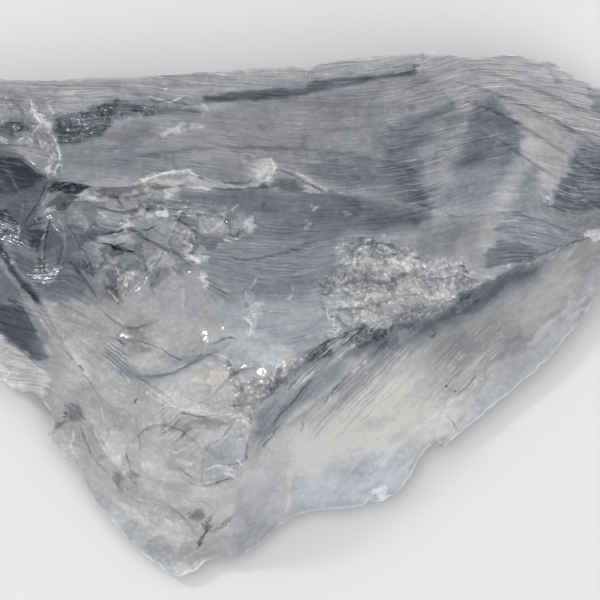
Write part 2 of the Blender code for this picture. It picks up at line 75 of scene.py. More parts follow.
def nearest_on_path(plan: np.ndarray, path: np.ndarray) -> tuple[np.ndarray, np.ndarray, np.ndarray]:
    """Measures points against a path.

    Args:
        plan: The points on the plan, as rows of x and y.
        path: The path's corners, as rows of x and y.

    Returns:
        Each point's distance from the path, its side (1 on the right of the path and -1 on the
        left), and how far along the path its nearest place is, from 0 to 1.
    """
    best = np.full(len(plan), np.inf)
    side = np.ones(len(plan))
    progress = np.zeros(len(plan))
    for index, (start, end) in enumerate(zip(path, path[1:])):
        run = end - start
        share = np.clip(((plan - start) @ run) / (run @ run), 0.0, 1.0)
        off = plan - start - share[:, None] * run
        away = np.hypot(off[:, 0], off[:, 1])
        closer = away < best
        turn = run[0] * (plan[:, 1] - start[1]) - run[1] * (plan[:, 0] - start[0])
        best = np.where(closer, away, best)
        side = np.where(closer, np.where(turn > 0, 1.0, -1.0), side)
        progress = np.where(closer, (index + share) / (len(path) - 1), progress)
    return best, side, progress


def inside(plan: np.ndarray, outline: np.ndarray) -> np.ndarray:
    """Which points are inside a closed outline.

    Args:
        plan: The points on the plan.
        outline: The outline's corners, as rows of x and y.

    Returns:
        True for each point that is inside.
    """
    found = np.zeros(len(plan), bool)
    x, y = plan[:, 0], plan[:, 1]
    for (x0, y0), (x1, y1) in zip(outline, np.roll(outline, -1, axis=0)):
        if y0 == y1:
            continue
        crosses = (y < y0) != (y < y1)
        found ^= crosses & (x < x0 + (y - y0) * (x1 - x0) / (y1 - y0))
    return found


def around(plan: np.ndarray, path: np.ndarray, margin: float) -> np.ndarray:
    """The numbers of the points in the upright box round a path, grown by a margin."""
    low, high = path.min(axis=0) - margin, path.max(axis=0) + margin
    return np.flatnonzero(((plan > low) & (plan < high)).all(axis=1))


def smooth(share: np.ndarray) -> np.ndarray:
    """Eases a share from 0 to 1."""
    share = np.clip(share, 0.0, 1.0)
    return share * share * (3.0 - 2.0 * share)


def fading(progress: np.ndarray) -> np.ndarray:
    """1 along most of a path, and down to 0 at its ends."""
    return smooth(6.0 * progress * (1.0 - progress))


def wave(places: np.ndarray, *sizes: float) -> np.ndarray:
    """Smooth noise from about -1 to 1.

    Args:
        places: Rows of three coordinates.
        sizes: The size of the noise's features along each of the three, or one size for all.

    Returns:
        One value for each row.
    """
    return np.array([noise.noise(place) for place in (places / np.array(sizes)).tolist()])


def waves(places: np.ndarray, size: float, *shifts: float) -> np.ndarray:
    """A column of smooth noise for each shift."""
    return np.column_stack([wave(places + shift, size) for shift in shifts])


def plates(places: np.ndarray, size: float) -> np.ndarray:
    """A level from -0.5 to 0.5 for each point that is the same all over one small plate."""
    found = [noise.cell(noise.voronoi(place)[1][0] * PLATE_SEED) for place in (places / size).tolist()]
    return np.array(found) - 0.5


# ----------------------------------------------------------------------- kinds of marks


class Face(Enum):
    """The stone's broken faces. The main ridge parts the two of the upper side.

    A face's value is the third coordinate of its grain, so that no two faces share their noise.
    """

    MAIN = 0.0
    LOWER = 7.3
    WALL = 15.1


@dataclass(frozen=True)
class Grain:
    """The way that hackles run at one place: a point and its rise to the right, in degrees."""

    x: float
    y: float
    angle: float


@dataclass(frozen=True)
class Mark:
    """Something that is drawn on the plan along corners, which are written as x, y, x, y and so on."""

    corners: tuple[float, ...]

    @property
    def path(self) -> np.ndarray:
        """The corners, as rows of x and y."""
        return np.reshape(np.array(self.corners, float), (-1, 2))


@dataclass(frozen=True)
class Look(Mark):
    """A mark that changes the stone under it, softly over its reach.

    tone makes the stone milkier above 0 and clearer below it; in a few marks it is a painted highlight
    above 0 and a painted shadow below it. frost roughens it, warmth tints it cream above 0 and blue below
    it, sugar breaks it into small plates and hackle makes it silky.
    """

    reach: float
    tone: float = 0.0
    frost: float = 0.0
    warmth: float = 0.0
    sugar: float = 0.0
    hackle: float = 0.0

    def cover(self, plan: np.ndarray) -> tuple[np.ndarray, np.ndarray]:
        """How fully the mark covers the plan.

        Args:
            plan: The points on the plan.

        Returns:
            The numbers of the points that it may reach, and how fully it covers each, from 0 to 1.
        """
        raise NotImplementedError


class Area(Look):
    """A place with an outline. It fades out over its reach, half of it inside the outline."""

    def cover(self, plan: np.ndarray) -> tuple[np.ndarray, np.ndarray]:
        """How fully the area covers the plan.

        Args:
            plan: The points on the plan.

        Returns:
            The numbers of the points that it may reach, and how fully it covers each, from 0 to 1.
        """
        chosen = around(plan, self.path, self.reach)
        away = nearest_on_path(plan[chosen], np.vstack([self.path, self.path[:1]]))[0]
        away = np.where(inside(plan[chosen], self.path), away, -away)
        return chosen, smooth(0.5 + away / self.reach)


class Stroke(Look):
    """A soft stroke along a path, as wide to each side as its reach."""

    def cover(self, plan: np.ndarray) -> tuple[np.ndarray, np.ndarray]:
        """How fully the stroke covers the plan.

        Args:
            plan: The points on the plan.

        Returns:
            The numbers of the points that it may reach, and how fully it covers each, from 0 to 1.
        """
        chosen = around(plan, self.path, self.reach)
        away = nearest_on_path(plan[chosen], self.path)[0]
        return chosen, smooth(1.5 * (1.0 - away / self.reach))


@dataclass(frozen=True)
class Line(Mark):
    """A hair-thin line: a bright seam where tone is above 0, and a dark crack below it.
    A few lines are painted highlights, and a few cracks are darkened with painted shade.

    width is to each side, in the plan's units. The groove is half as deep as depth, in mm.
    """

    tone: float
    width: float = 1.3
    depth: float = 0.0

    def sunk(self, plan: np.ndarray) -> tuple[np.ndarray, np.ndarray]:
        """The line's groove.

        Args:
            plan: The points on the plan.

        Returns:
            The numbers of the points near the line, and how far each sinks into it, in mm.
        """
        chosen = around(plan, self.path, 3.0 * self.width)
        away, _, progress = nearest_on_path(plan[chosen], self.path)
        return chosen, 0.5 * self.depth * fading(progress) * np.exp(-((away / self.width) ** 2))


@dataclass(frozen=True)
class Ledge(Mark):
    """A fine step. The stone is lower by drop (in mm) on the right of the path, over reach (in mm).

    tone is how much painted light makes the step's lip paler and painted shade makes its foot darker.
    """

    BREADTH: ClassVar[float] = 0.36  # of the steep part, in mm
    width: ClassVar[float] = 1.0

    drop: float
    reach: float = 1.5
    tone: float = 0.12

    def sunk(self, plan: np.ndarray) -> tuple[np.ndarray, np.ndarray]:
        """The step's relief.

        Args:
            plan: The points on the plan.

        Returns:
            The numbers of the points near the step, and how far it lowers each, in mm.
        """
        chosen = around(plan, self.path, 3.0 * self.reach / PLAN_UNIT)
        away, side, progress = nearest_on_path(plan[chosen], self.path)
        away = away * PLAN_UNIT
        fall = smooth(0.5 + side * away / self.BREADTH) - 0.5
        return chosen, self.drop * fading(progress) * fall * np.exp(-away / self.reach)


def nearest_marks(
    plan: np.ndarray, marks: Sequence[Line | Ledge], reach: float
) -> tuple[np.ndarray, np.ndarray]:
    """The nearest of many thin marks, for each point.

    Args:
        plan: The points on the plan.
        marks: The thin marks.
        reach: How far from a mark it still counts.

    Returns:
        Each point's signed distance from its nearest mark, in parts of that mark's width, and the
        mark's tone there, which for a ledge is the strength of its painted lip light and foot shade.
    """
    gap, tone = np.full(len(plan), reach), np.zeros(len(plan))
    for mark in marks:
        chosen = around(plan, mark.path, reach)
        away, side, progress = nearest_on_path(plan[chosen], mark.path)
        closer = away / mark.width < np.abs(gap[chosen])
        gap[chosen[closer]] = (side * away / mark.width)[closer]
        tone[chosen[closer]] = (mark.tone * fading(progress) * smooth(2.0 - 2.0 * away / reach))[closer]
    return gap, tone


# --------------------------------------------------------------------- marks on the plan


MAIN_RIDGE = Mark((
    660, 205, 600, 235, 575, 241, 545, 252, 520, 265, 497, 277, 480, 288, 447, 301, 420, 308, 395, 316,
    365, 326, 340, 335, 318, 345, 303, 353, 290, 365, 275, 380, 262, 398, 255, 412, 250, 430, 246, 450,
    240, 475, 235, 500, 230, 525, 222, 575,
))

# Each grain: x, y and its rise to the right, in degrees.
GRAINS: dict[Face, tuple[Grain, ...]] = {
    Face.MAIN: tuple(Grain(*row) for row in (
        (10, 100, 4), (60, 118, 8), (90, 120, 16), (110, 150, 4), (160, 102, -8), (180, 130, 6),
        (180, 160, 0), (230, 98, 6), (230, 140, -17), (250, 155, -20), (300, 86, 6), (300, 120, 4),
        (290, 172, -20), (330, 190, -20), (340, 110, 8), (350, 150, 6), (370, 195, -4), (390, 118, 14),
        (400, 150, 14), (400, 185, 10), (430, 80, 16), (440, 108, 20), (450, 165, 30), (460, 195, 14),
        (480, 105, 24), (500, 140, 30), (480, 170, 20), (450, 235, 24), (480, 215, 6), (490, 68, -14),
        (520, 88, -17), (560, 108, -19), (590, 128, -22), (540, 150, -12), (590, 165, -6), (560, 195, -24),
        (530, 228, -20), (555, 240, -22), (590, 208, 26), (510, 255, 10), (420, 250, 16), (300, 205, -4),
        (380, 215, -6), (240, 250, 2), (280, 240, -4), (320, 260, 20), (300, 285, 10), (240, 285, -2),
        (300, 310, 0), (270, 330, 2), (370, 270, 16), (440, 285, 20), (180, 205, -2), (160, 240, -30),
        (120, 215, 2), (120, 245, -4), (120, 285, -60), (184, 300, 86), (205, 315, -70), (150, 300, 80),
        (150, 350, -14), (190, 360, 26), (225, 345, 10), (250, 360, -4), (120, 360, -64), (100, 370, -80),
        (205, 385, -10), (172, 420, 86), (110, 430, -84), (210, 410, -6), (70, 385, -60), (90, 450, -60),
        (150, 460, -80), (220, 445, 16), (225, 468, -10), (215, 483, 16), (160, 530, -40), (215, 530, 42),
        (120, 500, -50), (60, 435, 60), (20, 215, -26), (15, 230, 0), (55, 250, 84), (40, 200, 70),
        (15, 270, -56), (50, 320, -56), (20, 340, -40), (20, 370, -4), (70, 190, 26), (80, 280, -50),
        (45, 150, -60), (320, 350, 36), (280, 390, 48),
    )),
    Face.LOWER: tuple(Grain(*row) for row in (
        (600, 255, 30), (540, 270, 30), (500, 300, 34), (560, 310, 40), (440, 325, 34), (470, 350, 48),
        (400, 345, 44), (370, 365, 46), (500, 370, 52), (455, 385, 50), (390, 410, 47), (340, 390, 44),
        (320, 355, 37), (310, 420, 50), (350, 460, 56), (280, 400, 50), (280, 460, 66), (260, 530, 74),
        (300, 500, 70), (420, 440, 46),
    )),
}

# Each area: its corners, its reach and its tone, and then what else it changes.
AREAS: tuple[Area, ...] = (
    # broad differences between the faces
    Area((60, 290, 110, 296, 200, 328, 240, 333, 300, 352, 262, 398, 246, 450, 232, 590, 150, 590, 40, 440,
          40, 400, 75, 368, 50, 325), 26, 0.25, warmth=0.15, sugar=0.19, hackle=-0.26),
    Area((62, 292, 100, 290, 160, 318, 150, 350, 120, 366, 80, 360, 52, 326), 18, -0.22, warmth=0.2,
          hackle=0.3),
    Area((32, 342, 86, 344, 92, 376, 60, 392, 40, 376), 20, 0.18),
    Area((162, 326, 196, 330, 224, 340, 216, 362, 176, 372, 160, 352), 20, -0.18),
    Area((54, 118, 104, 134, 200, 113, 300, 96, 420, 74, 452, 96, 380, 128, 370, 190, 310, 180, 275, 160,
          255, 163, 240, 184, 60, 180), 12, -0.09),
    Area((620, 225, 540, 262, 480, 292, 440, 312, 400, 330, 370, 352, 340, 378, 305, 402, 265, 440,
          250, 462, 238, 480, 250, 520, 330, 540, 500, 430, 640, 290), 10, 0.15, hackle=-0.2),
    Area((-20, 150, 30, 160, 60, 180, 100, 205, 98, 290, 60, 300, -20, 300), 10, -0.15, warmth=-0.3),
    Area((60, 186, 140, 196, 236, 204, 240, 240, 205, 262, 150, 300, 104, 296, 92, 250, 62, 214), 14,
          sugar=0.3),
    Area((-20, 78, 64, 86, 58, 140, 30, 150, -20, 150), 12, -0.09),
    Area((-20, 118, 30, 118, 38, 134, 20, 144, -20, 144), 12, -0.14),
    # the bevel along the long edge, and the painted shadow band under it
    Area((-20, 70, 200, 60, 300, 52, 420, 44, 400, 70, 300, 84, 205, 97, 150, 100, 100, 104, 60, 112,
          -20, 118), 5, 0.04, hackle=0.3),
    Area((54, 116, 80, 112, 95, 107, 104, 107, 118, 102, 140, 106, 190, 110, 200, 113, 150, 116, 128, 118,
          112, 124, 104, 134, 92, 142, 60, 145), 8, -0.32, warmth=-0.6, sugar=0.5, hackle=0.4),
    # Painted shadow: the dark band under the bevel.
    Area((205, 97, 240, 92, 300, 87, 320, 80, 345, 78, 380, 77, 400, 73, 415, 66, 420, 72, 405, 77, 380, 80,
          350, 87, 320, 93, 290, 99, 250, 103, 205, 102), 4, -0.32, warmth=-0.4, hackle=0.25),
    Area((586, 89, 596, 91, 620, 100, 620, 126, 594, 112), 3, -0.2),
    Area((552, 69, 563, 82, 557, 85, 551, 77), 3, -0.2),
    # the main face
    Area((100, 140, 104, 132, 130, 122, 156, 120, 156, 138, 118, 143), 8, -0.1, warmth=0.5),
    Area((118, 140, 142, 140, 140, 152, 120, 152), 8, -0.08, warmth=-0.6),
    Area((54, 145, 92, 142, 150, 150, 220, 165, 240, 186, 150, 176, 60, 180), 14, -0.03, warmth=-0.3),
    Area((159, 138, 168, 130, 174, 127, 185, 124, 198, 125, 205, 130, 188, 133, 175, 134), 4, 0.26,
          frost=0.6, sugar=0.4),
    Area((235, 100, 330, 94, 385, 92, 340, 125, 305, 155, 270, 160, 235, 150, 215, 125), 14, -0.05,
          warmth=0.3),
    Area((300, 162, 330, 158, 380, 165, 420, 165, 425, 210, 380, 196, 340, 188, 310, 176), 12, -0.1,
          warmth=-0.3, hackle=0.3),
    Area((380, 130, 400, 121, 425, 112, 445, 103, 453, 102, 444, 115, 428, 122, 420, 150, 425, 180,
          430, 216, 405, 214, 398, 190, 385, 165, 375, 145), 15, -0.15, warmth=-0.4, hackle=0.3),
    Area((470, 112, 480, 103, 492, 96, 500, 99, 504, 112, 512, 118, 518, 130, 520, 150, 526, 158, 512, 170,
          502, 185, 498, 202, 470, 208, 440, 206, 448, 178, 462, 155, 468, 135), 16, -0.23, warmth=-0.6,
          hackle=0.15),
    Area((446, 172, 500, 160, 504, 196, 480, 214, 440, 212), 22, 0.2, hackle=-0.1),
    Area((446, 110, 470, 99, 480, 96, 470, 115, 468, 138, 460, 154, 448, 168, 438, 196, 428, 214, 428, 180,
          436, 150), 6, -0.02, warmth=0.1, hackle=0.4),
    Area((502, 103, 520, 121, 519, 148, 528, 158, 542, 172, 547, 196, 560, 185, 569, 165, 576, 150,
          578, 140, 558, 128, 530, 116), 6, 0.14, warmth=0.1),
    Area((462, 40, 560, 50, 620, 90, 620, 146, 570, 133, 540, 117, 505, 101, 480, 84), 8, 0.09, hackle=0.5),
    Area((420, 48, 462, 50, 480, 84, 470, 98, 430, 100, 390, 100, 410, 80), 10, 0.04, hackle=0.4),
    Area((577, 142, 620, 152, 620, 206, 582, 213, 560, 213, 547, 207, 556, 188, 569, 170, 573, 155), 9,
          -0.14, warmth=-0.5, sugar=0.2, hackle=0.6),
    Area((490, 215, 520, 213, 560, 226, 590, 238, 560, 248, 545, 253, 500, 234), 5, -0.02, warmth=-0.6,
          hackle=0.4),
    Area((484, 250, 500, 241, 520, 243, 542, 253, 528, 260, 500, 264, 484, 270), 4, -0.24, warmth=-0.5,
          hackle=0.3),
    Area((428, 238, 450, 228, 480, 221, 500, 222, 496, 236, 486, 250, 470, 266, 440, 262), 9, warmth=0.25),
    Area((410, 222, 446, 216, 460, 230, 452, 258, 420, 262), 16, -0.14),
    Area((584, 232, 592, 229, 620, 228, 620, 238, 590, 240), 2, 0.36, frost=0.9),
    # the ledge: its frosted scarp, and the painted shadow band under it
    Area((143, 181, 158, 176, 172, 172, 188, 171, 196, 176, 204, 181, 220, 184, 240, 187, 256, 184,
          266, 180, 273, 181, 262, 188, 240, 191, 222, 190, 205, 191, 190, 187, 165, 186), 4, 0.5,
          frost=0.5, sugar=0.3),
    Area((253, 165, 262, 160, 271, 160, 275, 167, 271, 176, 266, 182, 251, 185, 256, 173), 3, 0.24,
          frost=0.5),
    Area((300, 192, 306, 187, 312, 187, 322, 193, 310, 195), 2, 0.3, frost=0.4),
    Area((272, 183, 284, 180, 296, 180, 303, 186, 298, 191, 285, 193), 2.5, -0.16, warmth=-0.5),
    Area((79, 195, 88, 187, 96, 186, 101, 190, 100, 198, 88, 201, 81, 200), 2, 0.44, frost=1.0, sugar=0.3),
    Area((47, 193, 58, 184, 75, 182, 90, 186, 82, 192, 70, 195, 52, 194), 3, -0.16, sugar=0.6),
    Area((47, 207, 60, 197, 72, 193, 81, 199, 70, 208, 60, 210), 2.5, -0.3, warmth=-0.7),
    # Painted shade: the dark band below the ledge, where the face drops away in shadow.
    Area((178, 190, 200, 192, 240, 191, 262, 189, 285, 194, 310, 196, 340, 199, 365, 201, 398, 206,
          428, 217, 418, 226, 395, 230, 360, 231, 330, 226, 300, 223, 258, 217, 225, 208, 200, 202,
          182, 199), 15, -0.3, warmth=-0.7, hackle=-0.05),
    Area((226, 218, 300, 222, 345, 228, 340, 240, 290, 240, 232, 236), 12, -0.14, warmth=-0.2),
    # the middle face
    Area((200, 245, 240, 240, 262, 220, 330, 226, 400, 242, 345, 262, 325, 285, 300, 298, 210, 300), 22,
          -0.13, warmth=-0.4, hackle=0.3),
    Area((210, 306, 240, 298, 330, 294, 350, 300, 345, 322, 322, 340, 290, 352, 262, 341, 240, 338,
          220, 326), 8, 0.05, warmth=-0.5),
    Area((340, 245, 360, 239, 388, 239, 396, 248, 412, 246, 422, 260, 460, 260, 480, 284, 470, 298,
          440, 302, 410, 302, 385, 306, 360, 322, 345, 336, 330, 336, 336, 310, 322, 300, 320, 285,
          335, 270), 12, 0.15, frost=0.4, sugar=0.8),
    Area((384, 259, 396, 256, 409, 262, 412, 271, 400, 284, 390, 276), 2.5, 0.17, frost=0.4),
    Area((440, 270, 455, 272, 463, 285, 450, 291, 438, 283), 2.5, 0.03),
    Area((350, 262, 368, 260, 374, 272, 368, 284, 350, 282), 4, -0.1, warmth=0.2),
    Area((240, 239, 241, 230, 246, 222, 258, 213, 262, 217, 254, 227, 248, 236), 2, 0.3, frost=0.6,
          sugar=0.4),
    Area((226, 213, 241, 211, 241, 220, 228, 225), 2.5, -0.12, warmth=-0.3),
    Area((100, 262, 160, 254, 212, 290, 222, 330, 140, 340, 100, 310), 20, hackle=-0.26),
    Area((162, 285, 186, 281, 189, 300, 187, 318, 170, 312, 163, 300), 3, 0.02),
    Area((178, 352, 198, 332, 206, 300, 208, 284, 213, 300, 220, 326, 226, 336, 205, 342, 190, 348), 4,
          0.02, warmth=0.5),
    Area((247, 298, 252, 290, 256, 296, 263, 305, 258, 312, 255, 318, 256, 330, 252, 337, 246, 332,
          250, 325, 244, 318, 250, 308), 2, 0.16, frost=0.3),
    # the broken plates
    Area((100, 203, 118, 203, 125, 210, 125, 227, 118, 231, 101, 232), 2, 0.03, hackle=0.3),
    Area((101, 221, 123, 221, 124, 228, 118, 231, 102, 232), 2, -0.06, warmth=-0.6),
    Area((102, 236, 120, 234, 131, 235, 134, 240, 125, 243, 104, 243), 2, 0.1),
    Area((103, 246, 112, 247, 121, 250, 123, 256, 115, 259, 110, 254, 105, 262, 99, 272, 100, 256), 2.5,
          -0.3, warmth=-0.5),
    Area((140, 202, 160, 200, 190, 202, 215, 208, 222, 216, 200, 219, 165, 218, 146, 215), 4, -0.03,
          warmth=-0.3, sugar=0.4, hackle=0.5),
    Area((142, 230, 158, 227, 171, 236, 173, 247, 163, 253, 152, 241), 2, -0.03, warmth=-0.4),
    Area((128, 226, 142, 231, 152, 242, 162, 254, 150, 262, 136, 252), 2.5, -0.08),
    Area((153, 258, 161, 254, 154, 270, 144, 288, 136, 290, 144, 274), 2.5, 0.16, warmth=-0.4),
    Area((104, 268, 118, 260, 130, 270, 131, 286, 121, 303, 109, 288), 3, -0.05, warmth=0.2, sugar=0.6),
    Area((174, 228, 194, 226, 196, 238, 178, 242), 5, 0.2, frost=0.5, sugar=0.6),
    Area((84, 260, 98, 266, 96, 280, 90, 276), 3, 0.1, sugar=0.6),
    # the left end and its clear windows
    Area((-20, 158, 18, 160, 30, 166, 42, 176, 47, 180, 30, 188, 12, 195, -20, 202), 7, -0.26, warmth=-1.0,
          hackle=0.2),
    Area((-20, 136, 10, 146, 30, 162, 16, 162, -20, 162), 4, -0.14, warmth=0.3),
    Area((30, 101, 36, 100, 40, 112, 46, 120, 54, 124, 54, 131, 44, 131, 42, 140, 30, 146, 16, 142, 25, 136,
          35, 131, 40, 121, 33, 114), 2.5, 0.28, frost=0.6, sugar=0.3),
    Area((40, 137, 50, 131, 56, 138, 61, 150, 61, 161, 56, 169, 53, 179, 50, 170, 52, 160, 42, 152), 2.5,
          0.24, frost=0.8, sugar=0.3),
    Area((-20, 122, 20, 123, 26, 131, 14, 135, -20, 132), 3, -0.12, sugar=0.6),
    Area((48, 183, 50, 195, 40, 215, 31, 232, 28, 243, 16, 249, 6, 240, -20, 240, -20, 204, 12, 196,
          30, 188), 2.5, -0.08, warmth=-0.3),
    Area((-20, 210, 6, 211, 15, 218, 21, 225, 10, 222, -20, 223), 2, -0.3, warmth=-0.3),
    Area((31, 240, 33, 222, 38, 217, 44, 226, 49, 235, 44, 240, 42, 248, 45, 262, 43, 274, 40, 262, 40, 246,
          35, 252), 2, -0.22, warmth=-0.5),
    Area((54, 214, 62, 220, 66, 235, 64, 255, 60, 270, 50, 288, 45, 283, 45, 265, 48, 245), 2, -0.07),
    Area((65, 224, 82, 228, 92, 238, 82, 250, 72, 256, 64, 254), 4, -0.14, warmth=-0.5),
    Area((15, 250, 38, 262, 44, 286, 30, 280, 20, 268), 3, -0.18, warmth=-0.2),
    Area((-20, 226, 0, 243, 6, 250, 12, 262, 22, 279, 35, 292, 43, 303, 36, 302, 27, 292, 13, 275, 3, 258,
          -20, 240), 2, -0.26, warmth=-0.5),
    Area((48, 286, 62, 262, 68, 257, 88, 262, 84, 284, 84, 302, 62, 302, 50, 300), 6, -0.14, warmth=-0.4),
    Area((-20, 298, 12, 302, 24, 304, 32, 320, 38, 335, 45, 345, 49, 358, 44, 364, 32, 357, 18, 346,
          10, 341, -20, 316), 5, -0.31, warmth=-0.8, hackle=0.2),
    Area((36, 338, 42, 340, 52, 348, 55, 357, 46, 352, 38, 346), 2, 0.14),
    Area((-20, 322, 0, 335, 10, 345, 20, 352, 35, 362, 46, 372, 53, 380, 46, 388, 42, 398, 25, 392,
          -20, 384), 2, 0.28, frost=0.2, hackle=0.4),
    # the lower left face, down to the point
    Area((120, 365, 150, 371, 180, 361, 195, 354, 212, 345, 222, 340, 225, 350, 215, 362, 195, 373,
          175, 377, 150, 380, 130, 377), 10, -0.05, warmth=-0.45),
    Area((222, 342, 240, 339, 262, 343, 285, 355, 270, 372, 240, 373, 228, 365), 3, -0.05, warmth=-0.5),
    Area((188, 373, 205, 368, 222, 359, 230, 370, 235, 382, 232, 395, 240, 400, 225, 408, 205, 411,
          185, 408, 174, 400, 172, 388), 6, -0.05, warmth=0.5),
    Area((179, 426, 190, 420, 200, 417, 226, 419, 224, 428, 212, 431, 200, 426, 190, 430, 183, 437), 2,
          -0.16),
    Area((112, 340, 126, 342, 132, 376, 118, 378, 108, 360), 6, -0.06, warmth=-0.6, hackle=0.7),
    Area((160, 405, 181, 407, 180, 442, 166, 443), 4, -0.02, hackle=0.8),
    Area((205, 442, 240, 432, 247, 445, 246, 462, 234, 477, 215, 481, 205, 474), 3, -0.03, warmth=-0.4),
    Area((187, 518, 192, 511, 199, 507, 203, 512, 203, 519, 196, 522), 2.5, -0.2, sugar=0.4),
    Area((202, 523, 208, 516, 213, 516, 209, 530, 205, 541, 199, 548, 203, 530), 2.5, -0.2, sugar=0.4),
    Area((61, 410, 68, 404, 79, 403, 84, 412, 80, 419, 70, 423, 62, 419), 4, -0.24, sugar=0.3),
    Area((50, 434, 57, 424, 67, 421, 61, 429), 2, -0.3),
    Area((113, 476, 120, 474, 125, 477, 122, 487, 120, 492, 116, 484), 2, -0.26, warmth=-0.3),
    Area((127, 473, 133, 470, 141, 476, 137, 481, 131, 482), 2, -0.24, warmth=-0.3),
    Area((60, 440, 120, 470, 200, 480, 250, 470, 262, 560, 160, 600, 90, 540), 24, 0.05),
    Area((60, 455, 80, 470, 112, 510, 160, 552, 178, 562, 172, 584, 100, 530, 50, 460), 10, warmth=-0.4),
    # the ridge, with its sugary crest and silky streaks
    Area((340, 336, 370, 319, 400, 306, 440, 303, 470, 298, 480, 300, 440, 312, 400, 328, 370, 344,
          345, 349, 318, 358, 300, 372, 284, 384, 262, 400, 250, 425, 244, 446, 237, 440, 243, 414,
          255, 390, 280, 365, 310, 350), 5, 0.02, frost=0.4, sugar=0.6),
    Area((298, 364, 320, 345, 345, 331, 368, 322, 352, 340, 330, 355, 305, 372, 288, 386), 3, -0.06,
          warmth=-0.4, hackle=0.9),
    # Painted highlight: the bright band on the narrow step facet along the ridge.
    Area((286, 389, 300, 378, 330, 360, 358, 340, 374, 336, 350, 351, 325, 370, 300, 384), 2.5, 0.16,
          warmth=0.4, hackle=0.4),
    # the lower right face
    Area((345, 355, 375, 335, 400, 328, 430, 317, 460, 303, 480, 292, 500, 278, 520, 268, 548, 260,
          536, 275, 515, 286, 500, 299, 480, 311, 450, 322, 420, 331, 400, 341, 398, 346, 384, 352,
          372, 354), 20, -0.4, warmth=-0.7),
    Area((262, 441, 254, 432, 262, 414, 275, 400, 290, 392, 310, 381, 326, 372, 336, 366, 338, 384,
          320, 396, 300, 406, 285, 420, 270, 434), 16, -0.1, warmth=-0.7),
    Area((288, 452, 298, 426, 330, 400, 360, 370, 400, 352, 430, 365, 442, 385, 446, 402, 440, 422,
          424, 441, 400, 451, 350, 457, 310, 472), 60, 0.24, warmth=0.35),
    Area((300, 462, 318, 436, 352, 404, 392, 378, 424, 384, 438, 404, 420, 436, 380, 448, 330, 458), 44,
          0.08, warmth=0.1),
    Area((296, 436, 335, 388, 395, 346, 424, 352, 384, 402, 332, 448), 26, hackle=0.6),
    Area((424, 352, 480, 318, 510, 330, 470, 392, 440, 400), 16, hackle=0.3),
    Area((425, 405, 456, 412, 452, 430, 434, 446, 410, 455), 22, 0.07, warmth=0.1),
    Area((296, 482, 340, 462, 400, 453, 425, 462, 400, 500, 350, 512, 296, 512), 24, 0.09, warmth=-0.6),
    Area((470, 430, 480, 400, 530, 360, 560, 340, 600, 300, 620, 300, 560, 390, 500, 440), 10, -0.03,
          warmth=-0.5),
    Area((440, 330, 480, 316, 530, 330, 540, 372, 500, 384, 470, 350), 22, -0.04),
    Area((246, 470, 290, 470, 286, 512, 262, 552, 212, 566, 226, 500), 20, 0.09, warmth=-0.25,
          hackle=-0.16),
    Area((236, 440, 262, 428, 300, 420, 328, 440, 326, 478, 250, 484, 238, 468), 18, 0.17),
    Area((560, 250, 620, 236, 620, 262, 580, 275, 545, 275), 6, -0.06, warmth=0.1),
)

